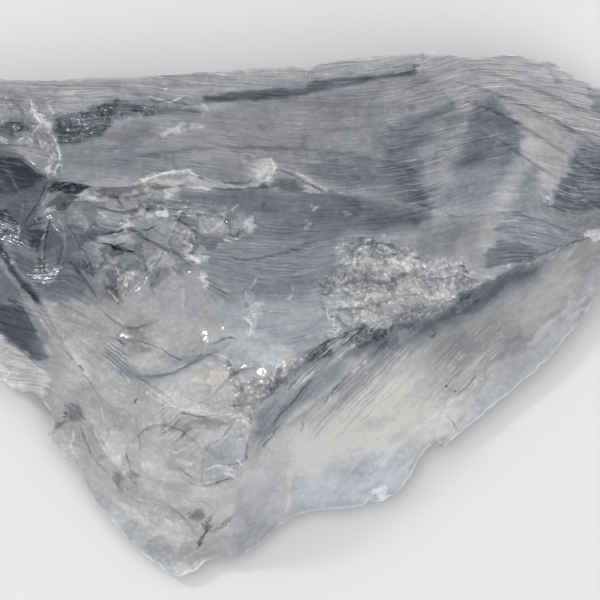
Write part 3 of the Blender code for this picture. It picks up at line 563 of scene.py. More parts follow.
# Each stroke: its corners, its reach and its tone, and then what else it changes.
STROKES: tuple[Stroke, ...] = (
    Stroke((520, 158, 508, 180, 498, 205, 490, 228, 484, 246), 12, 0.09, warmth=0.1),
    Stroke((536, 170, 526, 190, 520, 208), 9, -0.07, warmth=-0.3),
    Stroke((60, 92, 72, 94), 4, 0.14, frost=0.4),
    Stroke((12, 100, 10, 116, 4, 124), 4, 0.14, frost=0.4, sugar=0.3),
    Stroke((52, 103, 53, 116), 3, 0.16, frost=0.4),
    Stroke((3, 140, 7, 141), 4, 0.31, frost=0.6),
    Stroke((16, 132, 18, 128), 2.5, 0.3, frost=0.4),
    Stroke((146, 186, 148, 190), 10, 0.41, frost=1.0, sugar=0.7),
    Stroke((127, 197, 134, 193), 4, 0.3, frost=0.6),
    Stroke((166, 198, 172, 188), 5, 0.25, frost=0.6),
    Stroke((98, 198, 112, 200), 4, 0.2, frost=0.4),
    Stroke((163, 213, 164, 215), 5, 0.54, frost=0.9),
    Stroke((157, 214, 158, 215), 3, 0.45, frost=0.6),
    Stroke((186, 244, 185, 251), 6, 0.41, frost=0.9, sugar=0.5),
    Stroke((189, 257, 198, 262), 4, 0.41, frost=0.7),
    Stroke((201, 259, 208, 259), 3.5, 0.3, frost=0.6),
    Stroke((204, 275, 207, 284), 5, 0.3, frost=0.7),
    Stroke((125, 282, 131, 276), 6, 0.4, frost=0.8, sugar=0.6),
    Stroke((124, 228, 129, 220), 5, 0.3, frost=0.8, sugar=0.5),
    Stroke((141, 204, 144, 213, 148, 217), 4, 0.28, frost=0.7, sugar=0.4),
    Stroke((50, 211, 57, 208), 4, 0.3, frost=0.6),
    Stroke((103, 214, 108, 213), 3, 0.3, frost=0.4),
    Stroke((311, 209, 312, 211), 3, 0.46),
    Stroke((344, 214, 346, 214), 3, 0.34),
    Stroke((307, 223, 306, 229), 2.5, 0.3),
    Stroke((344, 244, 362, 251, 374, 255), 9, 0.16, frost=0.4, sugar=0.4),
    Stroke((380, 238, 390, 243), 5, 0.24, frost=0.5),
    Stroke((410, 256, 414, 261), 6, 0.2, frost=0.3),
    Stroke((510, 265, 520, 262, 536, 259), 5, 0.2, frost=0.5, sugar=0.6),
    Stroke((482, 276, 490, 278), 4, 0.2, frost=0.4, sugar=0.4),
    Stroke((546, 198, 551, 204), 6, 0.19, frost=0.5, sugar=0.4),
    Stroke((350, 290, 360, 293, 376, 297), 6, 0.14, frost=0.2),
    Stroke((333, 317, 342, 302), 5, 0.12, frost=0.2),
    Stroke((255, 385, 246, 392, 244, 402), 9, -0.1, sugar=0.8),
    Stroke((225, 360, 232, 374, 238, 392), 5, -0.04, sugar=0.5),
    Stroke((181, 461, 192, 462), 4, 0.12, frost=0.3),
    Stroke((0, 254, 8, 271, 20, 288, 30, 300, 45, 320, 58, 341), 5, 0.16, frost=0.3),
    Stroke((290, 468, 289, 508), 4, 0.1, warmth=0.3),
    Stroke((425, 52, 445, 54), 5, 0.22, frost=0.5),
    Stroke((390, 500, 375, 492), 8, 0.2, frost=0.5),
    Stroke((430, 330, 410, 343, 388, 358, 366, 374, 346, 390), 14, -0.14, warmth=-0.3),
    Stroke((318, 362, 340, 374), 16, -0.08),
    Stroke((346, 452, 376, 448), 26, 0.1),
    Stroke((262, 494, 300, 492, 346, 486), 20, 0.09),
    Stroke((158, 476, 190, 490, 214, 508), 30, 0.09),
    Stroke((136, 538, 176, 562, 232, 544), 18, -0.1),
    Stroke((534, 316, 546, 290, 566, 272), 22, 0.09),
    Stroke((118, 232, 140, 254, 150, 276), 26, -0.07),
    Stroke((372, 196, 404, 202), 20, 0.09),
    Stroke((352, 254, 374, 276), 24, 0.12),
    Stroke((338, 330, 372, 318), 16, 0.1),
    Stroke((252, 392, 250, 420), 14, 0.14),
    Stroke((206, 372, 228, 390), 20, 0.1),
    Stroke((84, 212, 106, 230), 16, 0.15),
    Stroke((180, 230, 180, 252), 14, 0.12),
    Stroke((144, 228, 160, 230), 14, -0.1),
    Stroke((178, 204, 204, 206), 12, -0.09),
    Stroke((134, 371, 158, 374), 14, -0.1, warmth=-0.3),
    Stroke((398, 142, 444, 120), 22, -0.1),
    Stroke((434, 358, 460, 342), 16, -0.09),
    Stroke((466, 304, 500, 286, 534, 274), 16, -0.09, warmth=-0.2),
    Stroke((436, 446, 446, 441), 5, -0.05, sugar=0.6),
)

# Each line: its corners, its tone, its width and its depth.
LINES: tuple[Line, ...] = (
    # the long edge
    # A painted highlight along the long edge, and beside it a shallow groove darkened with painted shade.
    Line((140, 96, 158, 100, 172, 103, 178, 99, 192, 97), 0.34, 1.5),
    Line((146, 99, 158, 103, 168, 101, 180, 104, 196, 107), -0.34, 1.3, 0.08),
    Line((198, 103, 206, 107, 210, 112, 212, 121), 0.24, 1.5),
    Line((196, 113, 186, 112, 174, 111), -0.2),
    # the ledge
    Line((143, 183, 158, 177, 172, 173, 188, 172, 200, 178, 222, 184, 242, 188, 258, 185, 268, 181), 0.34,
          1.5),
    Line((253, 165, 262, 160, 271, 160, 275, 168, 272, 177, 266, 183), 0.36, 1.4),
    Line((256, 173, 262, 170, 268, 172), 0.22, 1.2),
    Line((276, 168, 295, 173, 310, 182, 325, 190, 345, 195, 375, 198), 0.2, 1.8),
    Line((276, 171, 290, 174, 300, 180, 311, 187, 326, 193), -0.34, 1.3, 0.12),
    Line((240, 157, 246, 155, 258, 158), 0.2, 1.4),
    Line((242, 164, 247, 161), 0.3, 1.6),
    Line((112, 193, 118, 198, 126, 210), -0.34, 1.3, 0.1),
    Line((50, 191, 58, 185, 70, 183), -0.26, 1.4, 0.1),
    Line((58, 192, 68, 187, 80, 184), -0.24, 1.3, 0.1),
    # the plates
    Line((101, 234, 110, 234, 119, 233, 128, 229), -0.55, 1.4, 0.2),
    Line((101, 244, 118, 246, 130, 243), -0.5, 1.3, 0.16),
    Line((112, 247, 125, 251, 137, 252), -0.5, 1.2, 0.14),
    Line((142, 230, 149, 230, 158, 227), -0.5, 1.3, 0.14),
    Line((146, 272, 151, 265, 156, 259), -0.34, 1.3, 0.1),
    Line((109, 288, 114, 296, 121, 303), 0.6, 1.5),
    Line((128, 289, 124, 297, 121, 303), 0.34),
    Line((224, 240, 232, 241, 240, 239), 0.6, 1.6),
    Line((226, 209, 226, 217, 220, 226, 207, 235), 0.24, 1.7),
    Line((231, 211, 240, 206), 0.34, 1.5),
    Line((228, 235, 235, 237, 243, 233), -0.26, 1.2, 0.08),
    Line((150, 212, 170, 213, 198, 210), 0.16, 1.2),
    # the middle face
    Line((243, 298, 248, 290, 256, 284, 257, 276), 0.28, 1.5),
    Line((246, 318, 251, 324, 252, 334), 0.4, 1.5),
    Line((290, 283, 294, 290, 291, 297, 286, 301), 0.3, 1.5),
    Line((183, 280, 184, 300, 183, 313), 0.12),
    Line((187, 281, 188, 298, 186, 308), -0.14, 1.2),
    Line((321, 307, 327, 312), -0.4, 1.2),
    Line((331, 318, 334, 316), -0.9, 1.6),
    Line((326, 309, 329, 320), 0.3),
    Line((328, 331, 340, 330), 0.34, 1.4),
    Line((220, 294, 230, 293, 240, 294), -0.16),
    Line((288, 300, 310, 302, 330, 301), -0.14, 1.4),
    Line((260, 310, 272, 313, 298, 315), -0.12, 1.6),
    Line((456, 265, 463, 267, 467, 276), -0.4, 1.6, 0.12),
    Line((458, 278, 465, 288), -0.2, 1.2),
    Line((390, 253, 396, 256), -0.45, 1.4),
    Line((425, 218, 450, 217, 480, 216, 510, 213, 532, 212), -0.14),
    # the lower left face
    Line((113, 315, 122, 322, 130, 330, 137, 340), 0.14, 1.6),
    Line((137, 340, 152, 344, 163, 348, 171, 355, 180, 359, 192, 356), -0.34, 1.3, 0.12),
    # A shallow groove at the top of the arch, darkened with painted shadow.
    Line((211, 345, 222, 339, 231, 337, 240, 340), -0.5, 1.5, 0.16),
    Line((170, 372, 180, 367, 188, 363), 0.24, 1.6),
    Line((60, 344, 68, 352, 76, 361), -0.28, 1.4, 0.1),
    Line((80, 364, 85, 371), -0.55, 1.6, 0.14),
    Line((36, 306, 46, 320, 58, 338), -0.3, 1.4, 0.1),
    Line((150, 384, 160, 388), -0.34, 1.3, 0.1),
    Line((180, 411, 190, 414, 200, 415, 211, 417), -0.42, 1.4, 0.14),
    Line((186, 379, 196, 382, 206, 384, 218, 386), -0.1, 1.5),
    Line((182, 438, 186, 431, 194, 427), -0.24, 1.3, 0.1),
    Line((222, 438, 229, 429, 235, 421), -0.3, 1.3, 0.1),
    Line((234, 421, 243, 418, 250, 423), 0.36, 1.5),
    Line((206, 468, 214, 465, 228, 464), 0.3, 1.5),
    Line((221, 466, 230, 468, 237, 471), 0.5, 1.9),
    Line((224, 471, 231, 474, 237, 475), 0.44, 1.6),
    Line((237, 457, 240, 461, 243, 465), 0.6, 1.6),
    Line((222, 463, 236, 463, 246, 460), -0.26, 1.3, 0.1),
    Line((200, 485, 208, 485, 216, 482, 226, 478, 236, 477), -0.46, 1.6, 0.18),
    Line((178, 466, 186, 472, 197, 481), -0.42, 1.3, 0.12),
    Line((181, 472, 187, 480, 200, 486), -0.18, 1.4),
    Line((249, 440, 247, 450, 247, 460), -0.4, 1.5, 0.12),
    Line((205, 452, 203, 466, 203, 482), -0.16, 1.4),
    Line((205, 452, 212, 442, 221, 438), -0.3, 1.2, 0.1),
    Line((208, 524, 205, 535, 201, 544, 195, 552), -0.4, 1.3, 0.1),
    Line((209, 535, 221, 526, 237, 511), -0.38, 1.2, 0.08),
    Line((216, 531, 226, 524, 235, 516), -0.22, 1.1),
    Line((77, 420, 82, 431, 86, 441, 91, 453, 97, 462, 105, 471, 113, 479), -0.32, 1.4, 0.12),
    Line((73, 429, 72, 440, 70, 449), 0.24, 1.7),
    Line((127, 451, 129, 460, 131, 468), -0.46, 1.3, 0.1),
    Line((126, 485, 129, 491), -0.46),
    Line((138, 397, 136, 403), -0.5, 1.4),
    Line((148, 391, 153, 396), 0.36, 1.5),
    Line((160, 445, 165, 455), -0.14, 1.4),
    Line((132, 372, 146, 380, 158, 388, 170, 396, 180, 409), -0.26, 1.1, 0.08),
    Line((140, 378, 156, 392, 166, 400), 0.22, 1.1),
    Line((150, 394, 168, 404, 190, 409, 214, 410), 0.2, 1.2),
    Line((96, 352, 110, 360, 124, 372, 136, 388), 0.18, 1.2),
    Line((118, 330, 124, 344, 128, 360), -0.18, 1.1),
    Line((196, 352, 212, 352, 226, 356, 236, 364), 0.24, 1.2),
    Line((232, 366, 240, 378, 243, 394), -0.24, 1.1, 0.08),
    Line((186, 396, 200, 402, 216, 402, 232, 398), -0.16, 1.0),
    Line((100, 398, 104, 416, 112, 432), 0.16, 1.2),
    Line((136, 410, 139, 430, 142, 452), -0.22, 1.0, 0.06),
    Line((144, 412, 146, 436), 0.16, 1.0),
    Line((166, 448, 178, 452, 190, 446, 199, 436), 0.18, 1.1),
    Line((92, 424, 104, 440, 112, 460), -0.14, 1.0),
    Line((150, 508, 164, 518, 176, 530), 0.16, 1.2),
    Line((192, 500, 204, 502, 214, 508), -0.2, 1.0, 0.06),
    Line((187, 520, 193, 510, 200, 506), 0.2, 1.0),
    Line((130, 500, 140, 512, 146, 526), -0.14, 1.0),
    Line((222, 408, 232, 404, 242, 404), -0.3, 1.1, 0.08),
    Line((206, 418, 222, 414, 238, 412), 0.2, 1.1),
    # the ridge and the lower right face
    Line((304, 366, 318, 356, 332, 346, 346, 336), 0.4),
    Line((300, 360, 318, 347, 338, 334), -0.22, 1.3, 0.1),
    Line((308, 360, 326, 348, 350, 331), -0.2, 1.3, 0.1),
    Line((350, 372, 360, 365, 368, 358), 0.4, 1.4),
    Line((262, 447, 267, 441, 275, 430, 286, 420), -0.5, 1.2, 0.14),
    Line((268, 437, 273, 431), 0.5),
    Line((322, 404, 331, 393, 340, 381), -0.42, 1.3, 0.1),
    Line((302, 419, 304, 426, 300, 431), -0.34, 1.8),
    Line((445, 386, 447, 386), -1.0, 1.5),
    Line((454, 391, 456, 391), -0.9, 1.2),
    Line((393, 421, 395, 419), -0.4, 1.6),
    Line((376, 439, 378, 438), -0.34, 1.5),
    Line((425, 419, 426, 418), -0.34, 1.4),
    Line((364, 440, 366, 440), -0.24, 1.4),
    Line((418, 313, 419, 312), -0.7),
    Line((422, 307, 423, 306), -0.7),
    Line((437, 307, 442, 313), 0.34, 1.4),
    Line((427, 341, 435, 332), -0.34, 1.2),
    Line((445, 414, 452, 422, 459, 432), -0.26, 1.7),
    Line((441, 411, 448, 419, 453, 427), 0.1, 1.5),
    Line((444, 371, 453, 360, 464, 347), 0.18, 1.2),
    Line((449, 373, 459, 361, 468, 350), 0.22, 1.2),
    Line((456, 398, 468, 386, 478, 374), -0.26, 1.2),
    Line((480, 383, 488, 374, 494, 366), 0.2, 1.2),
    Line((462, 394, 476, 381, 486, 370), 0.18, 1.2),
    Line((490, 361, 500, 350), 0.16, 1.2),
    # the left end
    Line((50, 180, 44, 196, 34, 212, 24, 226), -0.34, 1.3, 0.1),
    Line((54, 182, 49, 198, 40, 213), 0.22, 1.2),
    Line((54, 214, 49, 230, 46, 250, 45, 268, 47, 284), -0.34, 1.2, 0.1),
    Line((57, 214, 64, 226, 67, 242, 64, 262, 56, 280, 48, 288), 0.26, 1.2),
    Line((66, 222, 78, 238, 90, 262, 98, 284), -0.2, 1.1, 0.06),
    Line((54, 134, 60, 148, 61, 162, 55, 178), 0.5),
    Line((31, 101, 35, 112, 41, 122, 44, 132), 0.44, 1.2),
    Line((16, 143, 28, 137, 38, 131, 44, 120), 0.36, 1.2),
    Line((0, 157, 14, 160, 28, 166, 44, 178), -0.24, 1.2, 0.06),
    Line((6, 170, 20, 178, 36, 184), 0.12, 1.1),
    Line((0, 302, 14, 304, 26, 306, 34, 322, 42, 342), 0.16, 1.2),
    Line((60, 344, 76, 362, 92, 384, 104, 402), -0.22, 1.1, 0.06),
    Line((64, 312, 72, 330, 84, 348, 96, 362), 0.14, 1.1),
    # The next three bright lines are painted highlights on the tongue facet.
    Line((2, 212, 11, 215, 19, 221), 0.5, 1.4),
    Line((0, 228, 10, 228, 18, 232), 0.36, 1.4),
    Line((4, 224, 13, 226), 0.3, 1.2),
    Line((0, 231, 10, 231), -0.4, 1.2),
    Line((42, 241, 45, 236, 48, 234), 0.5, 1.5),
    Line((36, 218, 40, 223), 0.4),
    Line((41, 258, 43, 268, 44, 276), -0.34, 1.3, 0.1),
    Line((22, 348, 30, 355, 38, 362, 46, 367), 0.34, 1.5),
    Line((2, 351, 8, 347), -0.34, 1.2),
    Line((0, 246, 6, 252, 14, 264), -0.3, 1.4, 0.1),
)

# Each ledge: its corners, its drop, its reach and its tone.
LEDGES: tuple[Ledge, ...] = (
    Ledge((482, 61, 510, 66, 548, 70), 0.14, 1.2),
    Ledge((474, 66, 500, 74, 530, 82, 556, 88, 600, 96), 0.18),
    Ledge((478, 77, 505, 85, 535, 94, 565, 103, 600, 111), 0.18),
    Ledge((496, 83, 520, 92, 545, 100, 575, 108, 604, 118), 0.2),
    Ledge((505, 95, 530, 103, 560, 112, 604, 126), 0.2),
    Ledge((512, 103, 545, 114, 570, 122, 604, 132), 0.22),
    Ledge((538, 115, 565, 126, 604, 141), 0.22),
    Ledge((562, 132, 585, 140, 604, 147), 0.2, 1.2, 0.18),
    Ledge((498, 222, 530, 230, 560, 238, 578, 243), 0.2, 1.2, 0.16),
    Ledge((503, 229, 530, 237, 562, 247), 0.18, 1.1, 0.18),
    Ledge((526, 212, 545, 217, 566, 224), 0.14, 1.2),
    Ledge((575, 152, 600, 158), 0.16, 1.1),
    Ledge((574, 168, 600, 173), 0.16, 1.1),
    Ledge((560, 196, 580, 204, 600, 206), 0.18, 1.1),
    Ledge((568, 236, 584, 222, 602, 210), 0.22, 1.2),
    Ledge((316, 134, 340, 130, 372, 127, 396, 120), 0.12, 1.6, 0.1),
    Ledge((380, 124, 405, 117, 430, 110, 450, 101), 0.16, 1.4, 0.14),
    Ledge((385, 148, 405, 143, 425, 141), 0.12, 1.2),
    Ledge((382, 176, 400, 171, 418, 168), 0.12, 1.2),
    Ledge((210, 136, 228, 142, 250, 151, 262, 158), 0.12, 1.6, 0.08),
    Ledge((205, 146, 225, 154, 246, 164, 254, 174), 0.12, 1.6, 0.07),
    Ledge((60, 116, 80, 116, 100, 108, 118, 101), 0.16, 1.4, 0.06),
    Ledge((120, 103, 150, 110, 190, 112), 0.12, 1.4, 0.08),
    Ledge((70, 152, 110, 156, 150, 153), 0.08, 2.0, 0.05),
    Ledge((60, 168, 110, 170, 150, 168), 0.08, 2.0, 0.05),
    Ledge((210, 250, 240, 249, 290, 248, 330, 238), 0.12, 1.4, 0.08),
    Ledge((205, 262, 240, 264, 300, 262, 340, 250), 0.12, 1.4, 0.08),
    Ledge((215, 274, 250, 274, 290, 272, 325, 258), 0.12, 1.3, 0.08),
    Ledge((218, 286, 240, 286, 270, 284), 0.12, 1.3, 0.08),
    Ledge((296, 292, 312, 280, 326, 268), 0.14, 1.2, 0.1),
    Ledge((165, 286, 176, 290, 188, 284), 0.12, 1.2, 0.1),
    Ledge((96, 268, 108, 300, 118, 318, 138, 342), -0.14, 1.4, 0.05),
    Ledge((92, 312, 104, 330, 110, 352, 124, 372), 0.12, 1.6, 0.05),
    Ledge((84, 356, 94, 364, 104, 360), 0.1, 1.2, 0.06),
    Ledge((118, 346, 124, 358, 120, 372), 0.12, 0.8, 0.1),
    Ledge((112, 352, 116, 364, 112, 376), 0.12, 0.8, 0.1),
    Ledge((165, 412, 168, 426, 166, 442), 0.12, 0.8, 0.08),
    Ledge((171, 410, 174, 426, 172, 442), 0.12, 0.8, 0.08),
    Ledge((177, 410, 180, 424, 178, 440), 0.12, 0.8, 0.08),
    Ledge((100, 400, 108, 420, 112, 450), 0.1, 1.4, 0.05),
    Ledge((146, 385, 152, 402, 158, 430), 0.1, 1.4, 0.04),
    Ledge((190, 445, 182, 462, 180, 478), 0.12, 1.4, 0.04),
    Ledge((205, 457, 222, 456, 238, 453), 0.14, 0.9, 0.08),
    Ledge((150, 500, 176, 512, 196, 528), 0.1, 1.6, 0.04),
    Ledge((110, 500, 140, 530, 170, 552), 0.1, 1.8, 0.04),
    Ledge((240, 360, 262, 361, 280, 364), 0.12, 1.0, 0.08),
    Ledge((242, 374, 258, 377, 274, 376), 0.12, 1.0, 0.08),
    Ledge((60, 318, 75, 322, 84, 332), 0.12, 1.2, 0.06),
    Ledge((8, 258, 22, 282, 44, 306), -0.14, 1.2, 0.06),
    Ledge((24, 302, 38, 320, 56, 346), 0.16, 1.0, 0.1),
    Ledge((2, 346, 22, 358, 44, 374), 0.14, 1.2, 0.05),
    Ledge((4, 366, 20, 368, 38, 376), 0.1, 1.2, 0.05),
    Ledge((30, 160, 44, 150, 52, 140), 0.14, 1.2, 0.06),
    Ledge((366, 404, 390, 380, 408, 356), 0.06, 1.2, 0.05),
    Ledge((384, 404, 402, 384, 420, 362), 0.06, 1.2, 0.05),
    Ledge((345, 420, 372, 396, 396, 366), 0.06, 1.4, 0.05),
)


# ------------------------------------------------------------------- the hackles' grain


class GrainField:
    """The run of the hackles over one face, as two coordinates in mm: along them and across them."""

    LOW = np.array([-60.0, -20.0])
    STEP = 8.0
    SHAPE = (96, 82)
    BLUR = 180.0  # how soon one grain's say gives way to the next one's, in square units of the plan
    ROUNDS = 500
    NEAR_ENOUGH = 1e-12

    def __init__(self, grains: Sequence[Grain]) -> None:
        """Solves for the two coordinates on a grid of 1 mm.

        Args:
            grains: The grains that are drawn on this face.
        """
        x, y = np.meshgrid(*(np.arange(count) for count in self.SHAPE), indexing="ij")
        places = np.column_stack([x.ravel(), y.ravel()]) * self.STEP + self.LOW
        marks = np.array([(grain.x, grain.y) for grain in grains])
        turns = np.radians([-grain.angle for grain in grains])
        gaps = ((places[:, None] - marks[None]) ** 2).sum(axis=2)
        weights = 1.0 / (gaps + self.BLUR) ** 1.5
        run = np.column_stack([weights @ np.cos(turns), weights @ np.sin(turns)])
        run /= np.linalg.norm(run, axis=1, keepdims=True)
        self.run = run.reshape(*self.SHAPE, 2)
        across = np.stack([-self.run[..., 1], self.run[..., 0]], axis=2)
        self.coordinates = np.stack([self.potential(self.run), self.potential(across)], axis=2)

    def potential(self, slope: np.ndarray) -> np.ndarray:
        """The height map whose slope is nearest to the slope given, by conjugate gradients.

        Args:
            slope: The slope along x and along y at each place of the grid.

        Returns:
            The height at each place.
        """
        step_x = (slope[1:, :, 0] + slope[:-1, :, 0]) / 2
        step_y = (slope[:, 1:, 1] + slope[:, :-1, 1]) / 2
        rest = np.zeros(self.SHAPE)
        rest[1:] += step_x
        rest[:-1] -= step_x
        rest[:, 1:] += step_y
        rest[:, :-1] -= step_y
        found = np.zeros(self.SHAPE)
        search, size = rest.copy(), (rest * rest).sum()
        for _ in range(self.ROUNDS):
            pulled = self.pull(search)
            reach = size / (search * pulled).sum()
            found += reach * search
            rest -= reach * pulled
            size, before = (rest * rest).sum(), size
            if size < self.NEAR_ENOUGH:
                break
            search = rest + size / before * search
        return found

    @staticmethod
    def pull(height: np.ndarray) -> np.ndarray:
        """How far each place of a height map stands above its neighbours, in all.

        Args:
            height: The height map.

        Returns:
            The differences from the neighbours, added up.
        """
        over_x, over_y = np.diff(height, axis=0), np.diff(height, axis=1)
        found = np.zeros_like(height)
        found[1:] += over_x
        found[:-1] -= over_x
        found[:, 1:] += over_y
        found[:, :-1] -= over_y
        return found

    def at(self, plan: np.ndarray) -> np.ndarray:
        """Reads the field between the places of its grid.

        Args:
            plan: The points on the plan.

        Returns:
            The two coordinates and the grain's own direction at each point, as rows.
        """
        place = np.clip((plan - self.LOW) / self.STEP, 0.0, np.array(self.SHAPE) - 1.001)
        cell = place.astype(int)
        share = (place - cell)[:, :, None]
        grid = np.concatenate([self.coordinates, self.run], axis=2)
        corner = [grid[cell[:, 0] + i, cell[:, 1] + j] for i in (0, 1) for j in (0, 1)]
        low = corner[0] * (1 - share[:, 1]) + corner[1] * share[:, 1]
        high = corner[2] * (1 - share[:, 1]) + corner[3] * share[:, 1]
        return low * (1 - share[:, 0]) + high * share[:, 0]


# --------------------------------------------------------------------------- the finish


class Bench:
    """Lays shader nodes and links them."""

    def __init__(self, material: bpy.types.Material) -> None:
        """Clears the material's nodes.

        Args:
            material: The material to build.
        """
        material.use_nodes = True
        self.tree = material.node_tree
        self.tree.nodes.clear()

    def node(self, kind: str, settings: dict | None = None, **inputs: object) -> bpy.types.Node:
        """Adds a node.

        Args:
            kind: The node's type, without its ShaderNode prefix.
            settings: The node's own properties.
            inputs: Values or sockets for its inputs, by name, with _ for a space, or i0, i1 and
                so on for an input by its number.

        Returns:
            The node.
        """
        made = self.tree.nodes.new("ShaderNode" + kind)
        for name, value in (settings or {}).items():
            setattr(made, name, value)
        for name, value in inputs.items():
            key = int(name[1:]) if name[0] == "i" and name[1:].isdigit() else name.replace("_", " ")
            if isinstance(value, bpy.types.NodeSocket):
                self.tree.links.new(value, made.inputs[key])
            else:
                made.inputs[key].default_value = value
        return made

    def number(self, operation: str, **inputs: object) -> bpy.types.NodeSocket:
        """Works out a number."""
        return self.node("Math", {"operation": operation}, **inputs).outputs[0]

    def vector(self, operation: str, **inputs: object) -> bpy.types.NodeSocket:
        """Works out a vector, or the number that a dot product gives."""
        made = self.node("VectorMath", {"operation": operation}, **inputs)
        return made.outputs["Value" if operation == "DOT_PRODUCT" else "Vector"]

    def sum(self, *terms: tuple[object, float], start: object = 0.0) -> bpy.types.NodeSocket:
        """Adds up sockets.

        Args:
            terms: Each socket with its weight.
            start: What the sum starts from, a number or a socket.

        Returns:
            The sum.
        """
        for socket, weight in terms:
            start = self.number("MULTIPLY_ADD", i0=socket, i1=weight, i2=start)
        return start

    def product(self, first: object, second: object) -> bpy.types.NodeSocket:
        """Multiplies two sockets."""
        return self.number("MULTIPLY", i0=first, i1=second)

    def ramp(self, value: object, stops: Iterable[tuple[float, Triple]]) -> bpy.types.NodeSocket:
        """A colour ramp.

        Args:
            value: The socket that it reads.
            stops: The places and colours of its stops. The first two stand at its ends.

        Returns:
            The colour.
        """
        made = self.node("ValToRGB", i0=value)
        elements = made.color_ramp.elements
        for index, (place, colour) in enumerate(stops):
            element = elements.new(place) if index > 1 else elements[index]
            element.position = place
            element.color = (*colour, 1.0)
        return made.outputs[0]

    def span(
        self, value: object, low: float, high: float, to_low: float = 0.0, to_high: float = 1.0
    ) -> bpy.types.NodeSocket:
        """Maps a value from one range to another, and holds it inside."""
        return self.node("MapRange", i0=value, i1=low, i2=high, i3=to_low, i4=to_high).outputs[0]

    def swing(self, vector: object, scale: float | Triple, detail: float = 3.0) -> bpy.types.NodeSocket:
        """Noise from about -0.5 to 0.5.

        Args:
            vector: Where it is read.
            scale: Its features for each unit along each axis, or along all three.
            detail: How many finer octaves it has.

        Returns:
            The noise.
        """
        sizes = scale if isinstance(scale, tuple) else (scale,) * 3
        moved = self.node("Mapping", i0=vector, i3=sizes).outputs[0]
        made = self.node("TexNoise", Vector=moved, Scale=1.0, Detail=detail, Roughness=0.55)
        return self.sum((made.outputs[0], 1.0), start=-0.5)


class StoneBench(Bench):
    """A bench with what the stone's finish reads: the point, the hackles' grain and the marks."""

    def __init__(self, material: bpy.types.Material) -> None:
        """Lays the nodes that read the stone.

        Args:
            material: The material to build.
        """
        super().__init__(material)
        self.marks = {name: self.attribute(name).outputs["Fac"] for name in (*BARE, *THIN)}
        self.grain = self.attribute("grain").outputs["Vector"]
        self.body = self.node("TexCoord").outputs["Object"]

    def attribute(self, name: str) -> bpy.types.Node:
        """The node that reads one attribute of the mesh."""
        return self.node("Attribute", {"attribute_name": name})


